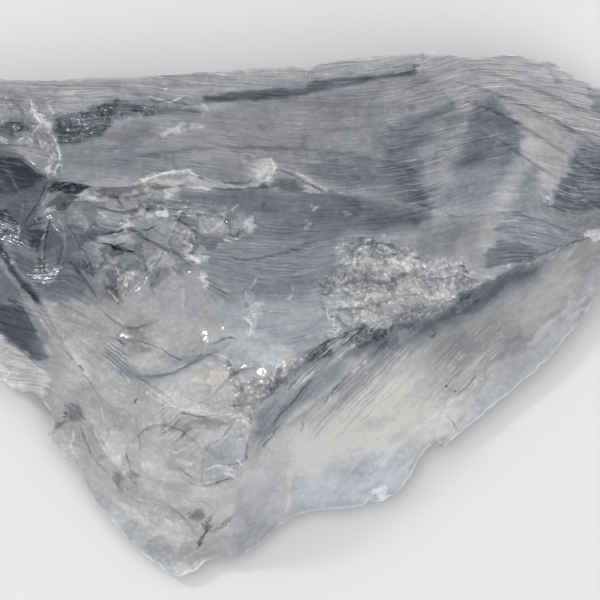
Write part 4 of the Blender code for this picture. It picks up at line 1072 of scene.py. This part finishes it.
@dataclass(frozen=True)
class PetaliteFinish:
    """Clear to milky petalite: see-through, faintly blue, silky where it is hackled.

    A grain scale is in features to the millimetre along the hackles, across them and between the
    faces. The other scales are in features to the metre.
    """

    ior: float = 1.51
    transmission: float = 0.60
    haze_colour: tuple[float, float, float, float] = (0.85, 0.89, 0.94, 1.0)
    haze_density: float = 20.0
    roughness: float = 0.13
    chip_sizes: tuple[float, float] = (1.9, 0.55)  # in mm
    chip_bend: float = 0.0007  # in metres
    bend_scale: float = 1300.0
    cloud_scale: float = 130.0
    mottle_scale: float = 1100.0
    painted_sparkle_scale: float = 2200.0
    waver_scale: float = 2600.0
    hair_grain: Triple = (0.20, 4.4, 1.0)
    bright_grain: Triple = (0.20, 5.2, 1.0)
    dark_grain: Triple = (0.18, 4.8, 9.0)
    wash_grain: Triple = (0.09, 0.5, 1.0)
    dull_grain: Triple = (0.14, 1.8, 1.0)
    tones: tuple[tuple[float, Triple], ...] = (
        (0.0, (0.005, 0.008, 0.018)),
        (1.0, (1.0, 0.99, 0.98)),
        (0.10, (0.038, 0.048, 0.070)),
        (0.33, (0.186, 0.198, 0.222)),
        (0.60, (0.445, 0.450, 0.460)),
        (0.79, (0.680, 0.680, 0.680)),
    )
    # Painted light on a step's lip and painted shade at its foot: places across the step, with their greys.
    painted_lip_and_foot: tuple[tuple[float, float], ...] = (
        (0.0, 0.50), (1.0, 0.50), (0.30, 0.53), (0.44, 0.70), (0.49, 0.78), (0.52, 0.05), (0.58, 0.22),
        (0.72, 0.44),
    )
    cream: Triple = (1.0, 0.945, 0.88)
    blue: Triple = (0.77, 0.87, 1.0)

    def material(self) -> bpy.types.Material:
        """Builds the finish.

        Returns:
            The material.
        """
        material = bpy.data.materials.new("petalite")
        bench = StoneBench(material)
        bend = bench.node("TexNoise", Vector=bench.body, Scale=self.bend_scale, Detail=0.0).outputs["Color"]
        bent = bench.vector("MULTIPLY_ADD", i0=bend, i1=(self.chip_bend,) * 3, i2=bench.body)
        chips = [self.chips(bench, bent, size) for size in self.chip_sizes]
        shader = bench.node(
            "BsdfPrincipled",
            Base_Color=self.colour(bench, self.tone(bench, chips)),
            Roughness=self.dullness(bench),
            Normal=self.bumps(bench, chips),
        )
        shader.inputs["IOR"].default_value = self.ior
        shader.inputs["Transmission Weight"].default_value = self.transmission
        haze = bench.node("VolumeAbsorption")
        haze.inputs["Color"].default_value = self.haze_colour
        haze.inputs["Density"].default_value = self.haze_density
        bench.node("OutputMaterial", Surface=shader.outputs[0], Volume=haze.outputs[0])
        return material

    def chips(
        self, bench: StoneBench, bent: bpy.types.NodeSocket, size: float
    ) -> tuple[bpy.types.NodeSocket, bpy.types.NodeSocket]:
        """Small flat chips, each tilted its own way.

        Args:
            bench: The material's bench.
            bent: The point on the stone, bent so that the chips' edges waver.
            size: The chips' size, in mm.

        Returns:
            A random tone for each chip from about -0.5 to 0.5, with faint rings over it and a bright
            rim along some sides, and the height of its tilted face.
        """
        place = bench.vector("SCALE", i0=bent, Scale=1.0 / (size * MM))
        cells = bench.node("TexVoronoi", Vector=place, Scale=1.0).outputs
        off = bench.vector("SUBTRACT", i0=place, i1=cells["Position"])
        tilt = bench.vector("SUBTRACT", i0=cells["Color"], i1=(0.5,) * 3)
        height = bench.vector("DOT_PRODUCT", i0=off, i1=tilt)
        parts = bench.node("SeparateXYZ", i0=cells["Color"]).outputs
        rings = bench.node("CombineXYZ", i0=cells["Distance"], i1=parts[1]).outputs[0]
        rim = bench.product(bench.span(cells["Distance"], 0.46, 0.56), parts[2])
        ringed = bench.swing(rings, (7.0, 20.0, 1.0), 0.0)
        return bench.sum((parts[0], 1.0), (ringed, 0.5), (rim, 1.2), start=-0.6), height

    def painted_step_shading(self, bench: StoneBench, across: bpy.types.NodeSocket) -> bpy.types.NodeSocket:
        """Painted light and shade across a step, a pale lip and a dark foot, from -0.5 to 0.5, where across
        runs over it from 0 to 1.
        """
        painted_lip_and_foot = bench.ramp(across, [(place, (grey,) * 3) for place, grey in self.painted_lip_and_foot])
        return bench.sum((painted_lip_and_foot, 1.0), start=-0.5)

    def thin_marks(
        self, bench: StoneBench, mottle: bpy.types.NodeSocket
    ) -> list[tuple[bpy.types.NodeSocket, float]]:
        """The seams and cracks, drawn as crisp lines, and the steps' painted lip light and foot shade, all
        of which waver and break up.

        Args:
            bench: The material's bench.
            mottle: Noise that breaks the lines up.

        Returns:
            The tone of the lines and the painted light and shade of the steps, each with its weight.
        """
        waver = bench.swing(bench.body, self.waver_scale, 1.0)
        present = bench.span(mottle, -0.16, 0.06, 0.25)
        gap = bench.number("ABSOLUTE", i0=bench.sum((waver, 1.6), start=bench.marks["seam_gap"]))
        seam = bench.product(bench.span(gap, 0.15, 1.0, 1.0, 0.0), bench.marks["seam_tone"])
        # Painted light on each step's lip and painted shade at its foot.
        over = bench.span(bench.sum((waver, 1.8), start=bench.marks["step_gap"]), -4.0, 4.0)
        step = bench.product(self.painted_step_shading(bench, over), bench.marks["step_tone"])
        return [(bench.product(seam, present), 1.0), (bench.product(step, present), 1.8)]

    def painted_hackle_step_shading(self, bench: StoneBench) -> bpy.types.NodeSocket:
        """Painted light and shade on crowded fine steps along the grain, a pale lip and a dark foot on
        each, where the stone is strongly hackled.

        Args:
            bench: The material's bench.

        Returns:
            The steps' painted light and shade.
        """
        across = bench.node("SeparateXYZ", i0=bench.grain).outputs[1]
        turns = bench.sum((across, 1.5), (bench.swing(bench.grain, (0.08, 0.30, 1.0), 1.0), 4.0))
        painted_lip_and_foot = self.painted_step_shading(bench, bench.number("FRACT", i0=turns))
        present = bench.span(bench.swing(bench.grain, (0.14, 1.5, 1.0), 1.0), -0.14, 0.12)
        return bench.product(bench.product(painted_lip_and_foot, present), bench.span(bench.marks["hackle"], 0.55, 0.95))

    def tone(self, bench: StoneBench, chips: list[tuple]) -> bpy.types.NodeSocket:
        """How milky the stone is: its drawn marks, with clouds, silky streaks, chips and painted sparkle
        over them, and the painted light and shade of steps.

        Args:
            bench: The material's bench.
            chips: The tone and the height of the large chips and of the small ones.

        Returns:
            The tone, from 0 for clear and dark to 1 for white.
        """
        marks, body, grain = bench.marks, bench.body, bench.grain
        hairs = bench.swing(grain, self.hair_grain, 1.0)
        bright = bench.span(bench.swing(grain, self.bright_grain, 1.0), 0.12, 0.20)
        dark = bench.span(bench.swing(grain, self.dark_grain, 1.0), 0.12, 0.20)
        streaks = bench.sum((hairs, 0.68), (bright, 0.30), (dark, -0.20))
        mottle = bench.swing(body, self.mottle_scale, 2.0)
        # Painted sparkle: small bright specks that stand for glints of light on frosted and sugary places.
        painted_sparkle = bench.span(bench.swing(body, self.painted_sparkle_scale, 0.0), 0.14, 0.22)
        broken = bench.sum((marks["frost"], 0.5), (marks["sugar"], 0.5), start=0.12)
        chips_and_sparkle = bench.sum((chips[0][0], 0.30), (chips[1][0], 0.34), (painted_sparkle, 0.9))
        return bench.sum(
            (marks["tone"], 1.0),
            (bench.swing(body, self.cloud_scale), 0.22),
            (mottle, 0.16),
            (bench.swing(grain, self.wash_grain, 2.0), 0.22),
            (self.painted_hackle_step_shading(bench), 1.0),
            (bench.product(streaks, marks["hackle"]), 1.0),
            (bench.product(chips_and_sparkle, broken), 0.36),
            *self.thin_marks(bench, mottle),
        )

    def colour(self, bench: StoneBench, tone: bpy.types.NodeSocket) -> bpy.types.NodeSocket:
        """The stone's colour at each tone, tinted cream or blue in places.

        Args:
            bench: The material's bench.
            tone: How milky the stone is.

        Returns:
            The colour.
        """
        found = bench.ramp(tone, self.tones)
        cream = bench.span(bench.marks["warmth"], 0.0, 1.0)
        blue = bench.span(bench.marks["warmth"], -1.0, 0.0, 1.0, 0.0)
        for share, tint in ((cream, self.cream), (blue, self.blue)):
            mixed = bench.node("Mix", {"data_type": "RGBA", "blend_type": "MULTIPLY"}, i0=share, i6=found)
            mixed.inputs[7].default_value = (*tint, 1.0)
            found = mixed.outputs[2]
        return found

    def dullness(self, bench: StoneBench) -> bpy.types.NodeSocket:
        """The roughness: vitreous on smooth scars, silky along hackles, dull where frosted.

        Args:
            bench: The material's bench.

        Returns:
            The roughness.
        """
        streak = bench.swing(bench.grain, self.dull_grain)
        added = ((bench.marks["frost"], 0.34), (bench.marks["hackle"], 0.10), (streak, 0.20))
        return bench.span(bench.sum(*added, start=self.roughness), 0.0, 1.0)

    def bumps(self, bench: StoneBench, chips: list[tuple]) -> bpy.types.NodeSocket:
        """Fine hackles along the grain and small tilted chips.

        Args:
            bench: The material's bench.
            chips: The tone and the height of the large chips and of the small ones.

        Returns:
            The bumps, as a normal.
        """
        fine = bench.product(bench.swing(bench.grain, self.hair_grain, 1.0), bench.marks["hackle"])
        broken = bench.sum((bench.marks["sugar"], 1.0), (bench.marks["frost"], 0.5), start=0.05)
        tilted = bench.product(bench.sum((chips[0][1], 1.4), (chips[1][1], 0.6)), broken)
        height = bench.sum((fine, 0.24), (tilted, 0.45))
        return bench.node("Bump", Height=height, Strength=0.9, Distance=0.001).outputs[0]


# ---------------------------------------------------------------------------- the stone


def read(parts: bpy.types.bpy_prop_collection, name: str, columns: int, kind: type = float) -> np.ndarray:
    """Reads one property of a mesh's points, edges or faces.

    Args:
        parts: The mesh's points, edges or faces.
        name: The property.
        columns: How many values it has.
        kind: The values' type.

    Returns:
        The values, with a row for each part.
    """
    values = np.empty(len(parts) * columns, kind)
    parts.foreach_get(name, values)
    return values.reshape(-1, columns)


def points(mesh: bpy.types.Mesh) -> np.ndarray:
    """The mesh's points as rows, in mm."""
    return read(mesh.vertices, "co", 3) / MM


def place_points(mesh: bpy.types.Mesh, places: np.ndarray) -> None:
    """Moves the mesh's points to these rows, in mm."""
    mesh.vertices.foreach_set("co", (places * MM).ravel())
    mesh.update()


def on_plan(places: np.ndarray) -> np.ndarray:
    """Points in mm as points on the plan."""
    return PLAN_ORIGIN + places[:, :2] * (1.0, -1.0) / PLAN_UNIT


def turned_up(mesh: bpy.types.Mesh) -> np.ndarray:
    """Which of the mesh's faces are on the upper side."""
    least_rise = 0.02
    return read(mesh.polygons, "normal", 3)[:, 2] > least_rise


def patches(corners: np.ndarray, count: int) -> np.ndarray:
    """Numbers the joined patches that these triangles make.

    Args:
        corners: The points of each triangle.
        count: How many points there are in all.

    Returns:
        The number of the patch that each point is in.
    """
    numbers = np.arange(count)
    while True:
        lowest = numbers.copy()
        for turn in range(3):
            start, end = corners[:, turn], corners[:, (turn + 1) % 3]
            np.minimum.at(lowest, start, numbers[end])
            np.minimum.at(lowest, end, numbers[start])
        lowest = lowest[lowest]
        if (lowest == numbers).all():
            return numbers
        numbers = lowest


def sides(mesh: bpy.types.Mesh) -> tuple[np.ndarray, np.ndarray]:
    """Sorts the mesh's points by side.

    Args:
        mesh: The stone's mesh.

    Returns:
        Which of its points are on the upper side, and which of those are on its rim.
    """
    corners = read(mesh.polygons, "vertices", 3, int)
    up = turned_up(mesh)
    upper, other = np.zeros((2, len(mesh.vertices)), bool)
    upper[corners[up].ravel()] = True
    other[corners[~up].ravel()] = True
    patch = patches(corners[up], len(upper))
    upper &= patch == np.bincount(patch[upper]).argmax()
    return upper, upper & other


def choose(thing: bpy.types.Object) -> None:
    """Makes one object the only chosen one, and the active one.

    Args:
        thing: The object.
    """
    bpy.ops.object.select_all(action="DESELECT")
    thing.select_set(True)
    bpy.context.view_layer.objects.active = thing


@contextmanager
def editing() -> Iterator[None]:
    """Opens the active object's mesh for editing, and closes it again."""
    bpy.ops.object.mode_set(mode="EDIT")
    yield
    bpy.ops.object.mode_set(mode="OBJECT")


@dataclass
class Skin:
    """The mesh's points, with a row for each in every field.

    places is in mm, and plan is the same on the plan. upper says which are on the upper side, and
    rim which of those are on its edge. grain holds the hackles' coordinates (along them, across
    them and a number for the face), and run is their direction on the plan.
    """

    places: np.ndarray
    plan: np.ndarray
    upper: np.ndarray
    rim: np.ndarray
    grain: np.ndarray
    run: np.ndarray

    @property
    def wall(self) -> np.ndarray:
        """Which points are on the side of the stone, under the rim."""
        return ~self.upper & (self.places[:, 2] > FLAT_TOP)

    @classmethod
    def of(cls, mesh: bpy.types.Mesh) -> "Skin":
        """Reads a mesh.

        Args:
            mesh: The stone's mesh.

        Returns:
            Its points, with the side, the rim and the grain at each.
        """
        places = points(mesh)
        plan = on_plan(places)
        upper, rim = sides(mesh)
        lower_face = nearest_on_path(plan, MAIN_RIDGE.path)[1] < 0
        fields = {face: GrainField(grains).at(plan) for face, grains in GRAINS.items()}
        found = np.where(lower_face[:, None], fields[Face.LOWER], fields[Face.MAIN])
        on_wall = places @ WALL_GRAIN
        coordinates = np.where(upper[:, None], found[:, :2], on_wall)
        number = np.where(lower_face, Face.LOWER.value, Face.MAIN.value)
        number = np.where(upper, number, Face.WALL.value)
        return cls(places, plan, upper, rim, np.column_stack([coordinates, number]), found[:, 2:])


@dataclass
class Fragment:
    """The petalite fragment, dressed. Sizes are in millimetres, and angles in degrees."""

    merge: float = 0.0005
    crest_angle: float = 15.0
    shading_angle: float = 34.0
    smoothing_rounds: int = 14
    smoothing_pulls: tuple[float, float] = (0.50, -0.46)  # in, and back out
    swell: float = 0.08
    hackle_height: float = 0.12
    sugar_height: float = 0.10
    grit_height: float = 0.05
    rim_jog: float = 0.14
    stray: float = 2.2  # how far marks stray from the plan, in its units
    fringe: float = 7.0  # how far the hackles draw them out
    seam_reach: float = 6.0  # how far from a line or a ledge its gap is measured
    finish: PetaliteFinish = field(default_factory=PetaliteFinish)

    def build(self) -> bpy.types.Object:
        """Makes the piece: a finer copy of the solid, carved and marked.

        Returns:
            The piece, at the origin, with its material.
        """
        piece = self.copied()
        mesh = piece.data
        self.cut_finer(mesh, np.ones(len(mesh.polygons), bool))
        self.cut_finer(mesh, turned_up(mesh))
        self.relax(mesh)
        self.cut_finer(mesh, self.worked_faces(mesh))
        skin = Skin.of(mesh)
        marks = self.marks(skin)
        for name, values in marks.items():
            mesh.attributes.new(name, "FLOAT", "POINT").data.foreach_set("value", values)
        mesh.attributes.new("grain", "FLOAT_VECTOR", "POINT").data.foreach_set("vector", skin.grain.ravel())
        place_points(mesh, self.carved(skin, marks))
        self.dress(piece)
        return piece

    def copied(self) -> bpy.types.Object:
        """Copies the solid's mesh and merges its points, and marks its crests sharp.

        Returns:
            The copy, still coarse.
        """
        choose(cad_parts[NODE])
        bpy.ops.object.duplicate()
        piece = bpy.context.view_layer.objects.active
        piece.name = piece.data.name = "petalite_dressed"
        with editing():
            bpy.ops.mesh.select_mode(type="VERT")
            bpy.ops.mesh.select_all(action="SELECT")
            bpy.ops.mesh.remove_doubles(threshold=self.merge * MM)
            bpy.ops.mesh.customdata_custom_splitnormals_clear()
            bpy.ops.mesh.mark_sharp(clear=True)
            bpy.ops.mesh.select_mode(type="EDGE")
            bpy.ops.mesh.select_all(action="DESELECT")
            bpy.ops.mesh.edges_select_sharp(sharpness=math.radians(self.crest_angle))
            bpy.ops.mesh.mark_sharp()
            bpy.ops.mesh.select_mode(type="FACE")
        return piece

    @staticmethod
    def cut_finer(mesh: bpy.types.Mesh, chosen: np.ndarray) -> None:
        """Cuts faces of the active object in four, and leaves triangles all over.

        Args:
            mesh: The object's mesh.
            chosen: True for each face to cut.
        """
        mesh.polygons.foreach_set("select", chosen)
        with editing():
            bpy.ops.mesh.subdivide(number_cuts=1, ngon=False)
            bpy.ops.mesh.select_all(action="SELECT")
            bpy.ops.mesh.quads_convert_to_tris()
            bpy.ops.mesh.select_all(action="DESELECT")

    @staticmethod
    def worked_faces(mesh: bpy.types.Mesh) -> np.ndarray:
        """Finds the faces that need the finest cut.

        Args:
            mesh: The stone's mesh.

        Returns:
            True for each face of the upper side that holds a line, or a frosted or sugary place.
        """
        crack_reach, seam_reach = 2.5, 1.2
        least_broken, least_cover = 0.25, 0.2
        plan = on_plan(read(mesh.polygons, "center", 3) / MM)
        found = np.zeros(len(plan), bool)
        for line in LINES:
            chosen = around(plan, line.path, crack_reach)
            away = nearest_on_path(plan[chosen], line.path)[0]
            found[chosen] |= away < (crack_reach if line.depth else seam_reach)
        for mark in AREAS + STROKES:
            if mark.frost + mark.sugar > least_broken:
                chosen, cover = mark.cover(plan)
                found[chosen] |= cover > least_cover
        return found & turned_up(mesh)

    def relax(self, mesh: bpy.types.Mesh) -> None:
        """Smooths each scar between its crests, without shrinking it.

        Args:
            mesh: The stone's mesh.
        """
        ends = read(mesh.edges, "vertices", 2, int)
        sharp = read(mesh.edges, "use_edge_sharp", 1, bool)[:, 0]
        free = sides(mesh)[0]
        free[ends[sharp].ravel()] = False
        places = points(mesh)
        count = np.bincount(ends.ravel(), minlength=len(places))
        height = places[:, 2].copy()
        for pull in self.smoothing_pulls * self.smoothing_rounds:
            total = np.bincount(ends[:, 0], height[ends[:, 1]], len(places))
            total += np.bincount(ends[:, 1], height[ends[:, 0]], len(places))
            height = np.where(free, height + pull * (total / count - height), height)
        places[:, 2] = height
        place_points(mesh, places)

    def marks(self, skin: Skin) -> dict[str, np.ndarray]:
        """The look of the stone at each point, by name.

        Args:
            skin: The stone's points.

        Returns:
            The tone, frost, warmth, sugar and hackle, and the gaps and tones of seams and steps; a step's
            tone is its painted lip light and foot shade.
        """
        places = skin.places
        stray = waves(places, 2.4, 0.0, 31.0)
        fine = waves(places, 0.7, 5.0, 17.0)
        fringe = wave(skin.grain, 5.0, 0.42, 1.0) + 0.7 * wave(skin.grain + 60.0, 9.0, 1.1, 1.0)
        strayed = skin.plan + self.stray * stray + 0.4 * self.stray * fine
        strayed += self.fringe * fringe[:, None] * skin.run
        marks = {name: np.full(len(places), value) for name, value in BARE.items()}
        for mark in AREAS + STROKES:
            chosen, cover = mark.cover(strayed)
            for name, values in marks.items():
                values[chosen] += cover * getattr(mark, name)
        marks["tone"] += 0.06 * marks["sugar"] * (plates(places, 0.55) + plates(places + 7.0, 0.9))
        broken = np.clip(marks["sugar"], 0.0, 0.35) ** 2
        marks["tone"] += (0.02 + 1.2 * broken) * plates(places + 0.4 * stray[:, :1], 3.0)
        # Painted light: a pale, warm line along the rim, where light catches the thin edge.
        marks["tone"] += 0.22 * skin.rim
        marks["warmth"] += 0.6 * skin.rim
        self.mark_wall(skin, marks)
        near = skin.plan + 0.3 * self.stray * fine
        # Seam and crack tones, and the steps' painted lip light and foot shade.
        for name, drawn in (("seam", LINES), ("step", LEDGES)):
            marks[name + "_gap"], tone = nearest_marks(near, drawn, self.seam_reach)
            marks[name + "_tone"] = tone * skin.upper
        return marks

    @staticmethod
    def mark_wall(skin: Skin, marks: dict[str, np.ndarray]) -> None:
        """Gives the wall its clouds and hackles and the underside its even look.

        Args:
            skin: The stone's points.
            marks: The marks at each point, which are also held between their least and most.
        """
        places = skin.places
        cloudy = wave(places, 8.0, 8.0, 4.0) + 0.6 * wave(places + 9.0, 2.6, 2.6, 1.8)
        torn = np.clip(0.2 + 1.1 * wave(places + 40.0, 9.0, 9.0, 5.0), 0.08, 0.85)
        for name, least, most, on_wall, below in (
            ("tone", 0.0, 1.3, 0.66 + 0.18 * cloudy, 0.55),
            ("frost", 0.0, 1.2, 0.08, 0.05),
            ("warmth", -1.0, 1.0, -0.2 + 0.4 * cloudy, 0.0),
            ("sugar", 0.0, 1.0, 0.45, 0.1),
            ("hackle", 0.0, 1.2, torn, 0.12),
        ):
            other = np.where(skin.wall, on_wall, below)
            marks[name] = np.clip(np.where(skin.upper, marks[name], other), least, most)

    def carved(self, skin: Skin, marks: dict[str, np.ndarray]) -> np.ndarray:
        """Adds the fine relief to the upper side and the wall.

        Args:
            skin: The stone's points.
            marks: The marks at each point.

        Returns:
            The points, moved.
        """
        places, grain = skin.places, skin.grain
        rise = self.swell * wave(places, 3.4)
        rise += self.hackle_height * marks["hackle"] * self.hackled(grain, 1.5, 9.0)
        rise += 0.5 * self.hackle_height * marks["hackle"] * self.hackled(grain + 5.0, 0.75, 5.0)
        rise += self.sugar_height * marks["sugar"] * plates(places, 0.9)
        rise += 0.6 * self.sugar_height * marks["sugar"] * plates(places + 7.0, 0.55)
        rise += self.grit_height * (0.3 + marks["frost"]) * wave(places, 0.5)
        for mark in LEDGES + tuple(line for line in LINES if line.depth):
            chosen, sunk = mark.sunk(skin.plan)
            rise[chosen] -= sunk
        moved = places.copy()
        moved[:, 2] += np.where(skin.upper, rise, 0.0)
        standing = (skin.upper | skin.wall)[:, None]
        moved[:, :2] += np.where(standing, self.rim_jog * waves(places, 1.1, 50.0, 70.0), 0.0)
        return moved

    @staticmethod
    def hackled(grain: np.ndarray, width: float, length: float) -> np.ndarray:
        """A saw-tooth relief whose steps follow the grain, come and go.

        Args:
            grain: The grain's coordinates at each point.
            width: From one step to the next, in mm.
            length: How far a step runs before it wanders, in mm.

        Returns:
            The relief at each point, from -0.5 to 0.5.
        """
        back, front = 0.76, 0.24  # the shares of a tooth that rise and that fall
        wander = wave(grain, length, 2.0 * width, 1.0)
        phase = grain[:, 1] / width + 1.4 * wander
        tooth = phase - np.floor(phase)
        saw = np.where(tooth < back, tooth / back, (1.0 - tooth) / front) - 0.5
        present = smooth(0.5 + 1.6 * wave(grain + 40.0, 1.3 * length, 3.0 * width, 1.0))
        return saw * present

    def dress(self, piece: bpy.types.Object) -> None:
        """Shades the piece smooth between its crests and gives it its material.

        Args:
            piece: The piece.
        """
        choose(piece)
        with editing():
            bpy.ops.mesh.select_all(action="SELECT")
            bpy.ops.mesh.mark_sharp(clear=True)
        bpy.ops.object.shade_smooth_by_angle(angle=math.radians(self.shading_angle))
        piece.data.materials.clear()
        piece.data.materials.append(self.finish.material())


# --------------------------------------------------------------------------- the studio


@dataclass(frozen=True)
class Softbox:
    """A square soft light that points at the stone."""

    name: str
    place: Triple
    size: float
    power: float
    target: Triple = (0.0, 0.0, 0.01)

    def build(self) -> None:
        """Adds the light."""
        bpy.ops.object.light_add(type="AREA", location=self.place)
        light = bpy.context.view_layer.objects.active
        light.name = self.name
        light.data.size = self.size
        light.data.energy = self.power
        aim = Vector(self.target) - Vector(self.place)
        light.rotation_euler = aim.to_track_quat("-Z", "Y").to_euler()


@dataclass(frozen=True)
class FloorFinish:
    """Matt pale grey, with the faintest unevenness."""

    colour: tuple[float, float, float, float] = (0.43, 0.43, 0.435, 1.0)
    mottle_scale: float = 9.0
    roughness: tuple[float, float] = (0.80, 0.95)

    def material(self) -> bpy.types.Material:
        """Builds the finish.

        Returns:
            The material.
        """
        material = bpy.data.materials.new("pale_floor")
        bench = Bench(material)
        body = bench.node("TexCoord").outputs["Object"]
        mottle = bench.node("TexNoise", Vector=body, Scale=self.mottle_scale, Detail=3.0).outputs[0]
        shader = bench.node("BsdfPrincipled", Roughness=bench.span(mottle, 0.0, 1.0, *self.roughness))
        shader.inputs["Base Color"].default_value = self.colour
        bench.node("OutputMaterial", Surface=shader.outputs[0])
        return material


@dataclass
class Studio:
    """A pale floor, soft light and a camera that looks straight down."""

    floor_size: float = 6.0
    floor_finish: FloorFinish = field(default_factory=FloorFinish)
    sky_colour: tuple[float, float, float, float] = (0.97, 0.98, 1.0, 1.0)
    sky_strength: float = 0.80
    lens: float = 400.0
    sensor: float = 36.0
    view_width: float = 0.075
    focus_height: float = 0.007
    farthest: float = 20.0
    middle: tuple[float, float] = (300.0, 300.0)  # the plan's point under the camera
    lights: tuple[Softbox, ...] = (
        Softbox("key", (-0.30, 0.45, 1.05), 1.5, 12.5),
        Softbox("fill", (0.60, -0.60, 0.90), 1.2, 9.0),
        Softbox("glint", (-0.70, 0.55, 0.75), 0.12, 5.0),
    )

    def build(self) -> None:
        """Sets up the floor, the sky, the lights and the camera."""
        bpy.context.scene.view_settings.view_transform = "Standard"
        bpy.ops.object.select_all(action="DESELECT")
        bpy.ops.mesh.primitive_plane_add(size=self.floor_size)
        floor = bpy.context.view_layer.objects.active
        floor.name = "floor"
        floor.data.materials.append(self.floor_finish.material())
        self.sky()
        for light in self.lights:
            light.build()
        self.camera()

    def sky(self) -> None:
        """An even pale light from all round."""
        world = bpy.data.worlds.new("studio")
        bpy.context.scene.world = world
        world.use_nodes = True
        background = world.node_tree.nodes["Background"]
        background.inputs["Color"].default_value = self.sky_colour
        background.inputs["Strength"].default_value = self.sky_strength

    def camera(self) -> None:
        """A long lens straight over the stone."""
        over = (np.array(self.middle) - PLAN_ORIGIN) * (1.0, -1.0) * PLAN_UNIT * MM
        height = self.focus_height + self.view_width * self.lens / self.sensor
        bpy.ops.object.camera_add(location=(over[0], over[1], height), rotation=(0.0, 0.0, 0.0))
        camera = bpy.context.view_layer.objects.active
        camera.name = "camera"
        camera.data.lens = self.lens
        camera.data.sensor_width = self.sensor
        camera.data.clip_end = self.farthest
        bpy.context.scene.camera = camera


def main() -> None:
    """Builds the stone and the studio."""
    logging.basicConfig(level=logging.INFO, format="%(name)s: %(message)s")
    piece = Fragment().build()
    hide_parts(NODE)
    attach(piece, "root")
    log.info("%s: %d triangles", piece.name, len(piece.data.polygons))
    Studio().build()


if __name__ == "__main__":
    main()
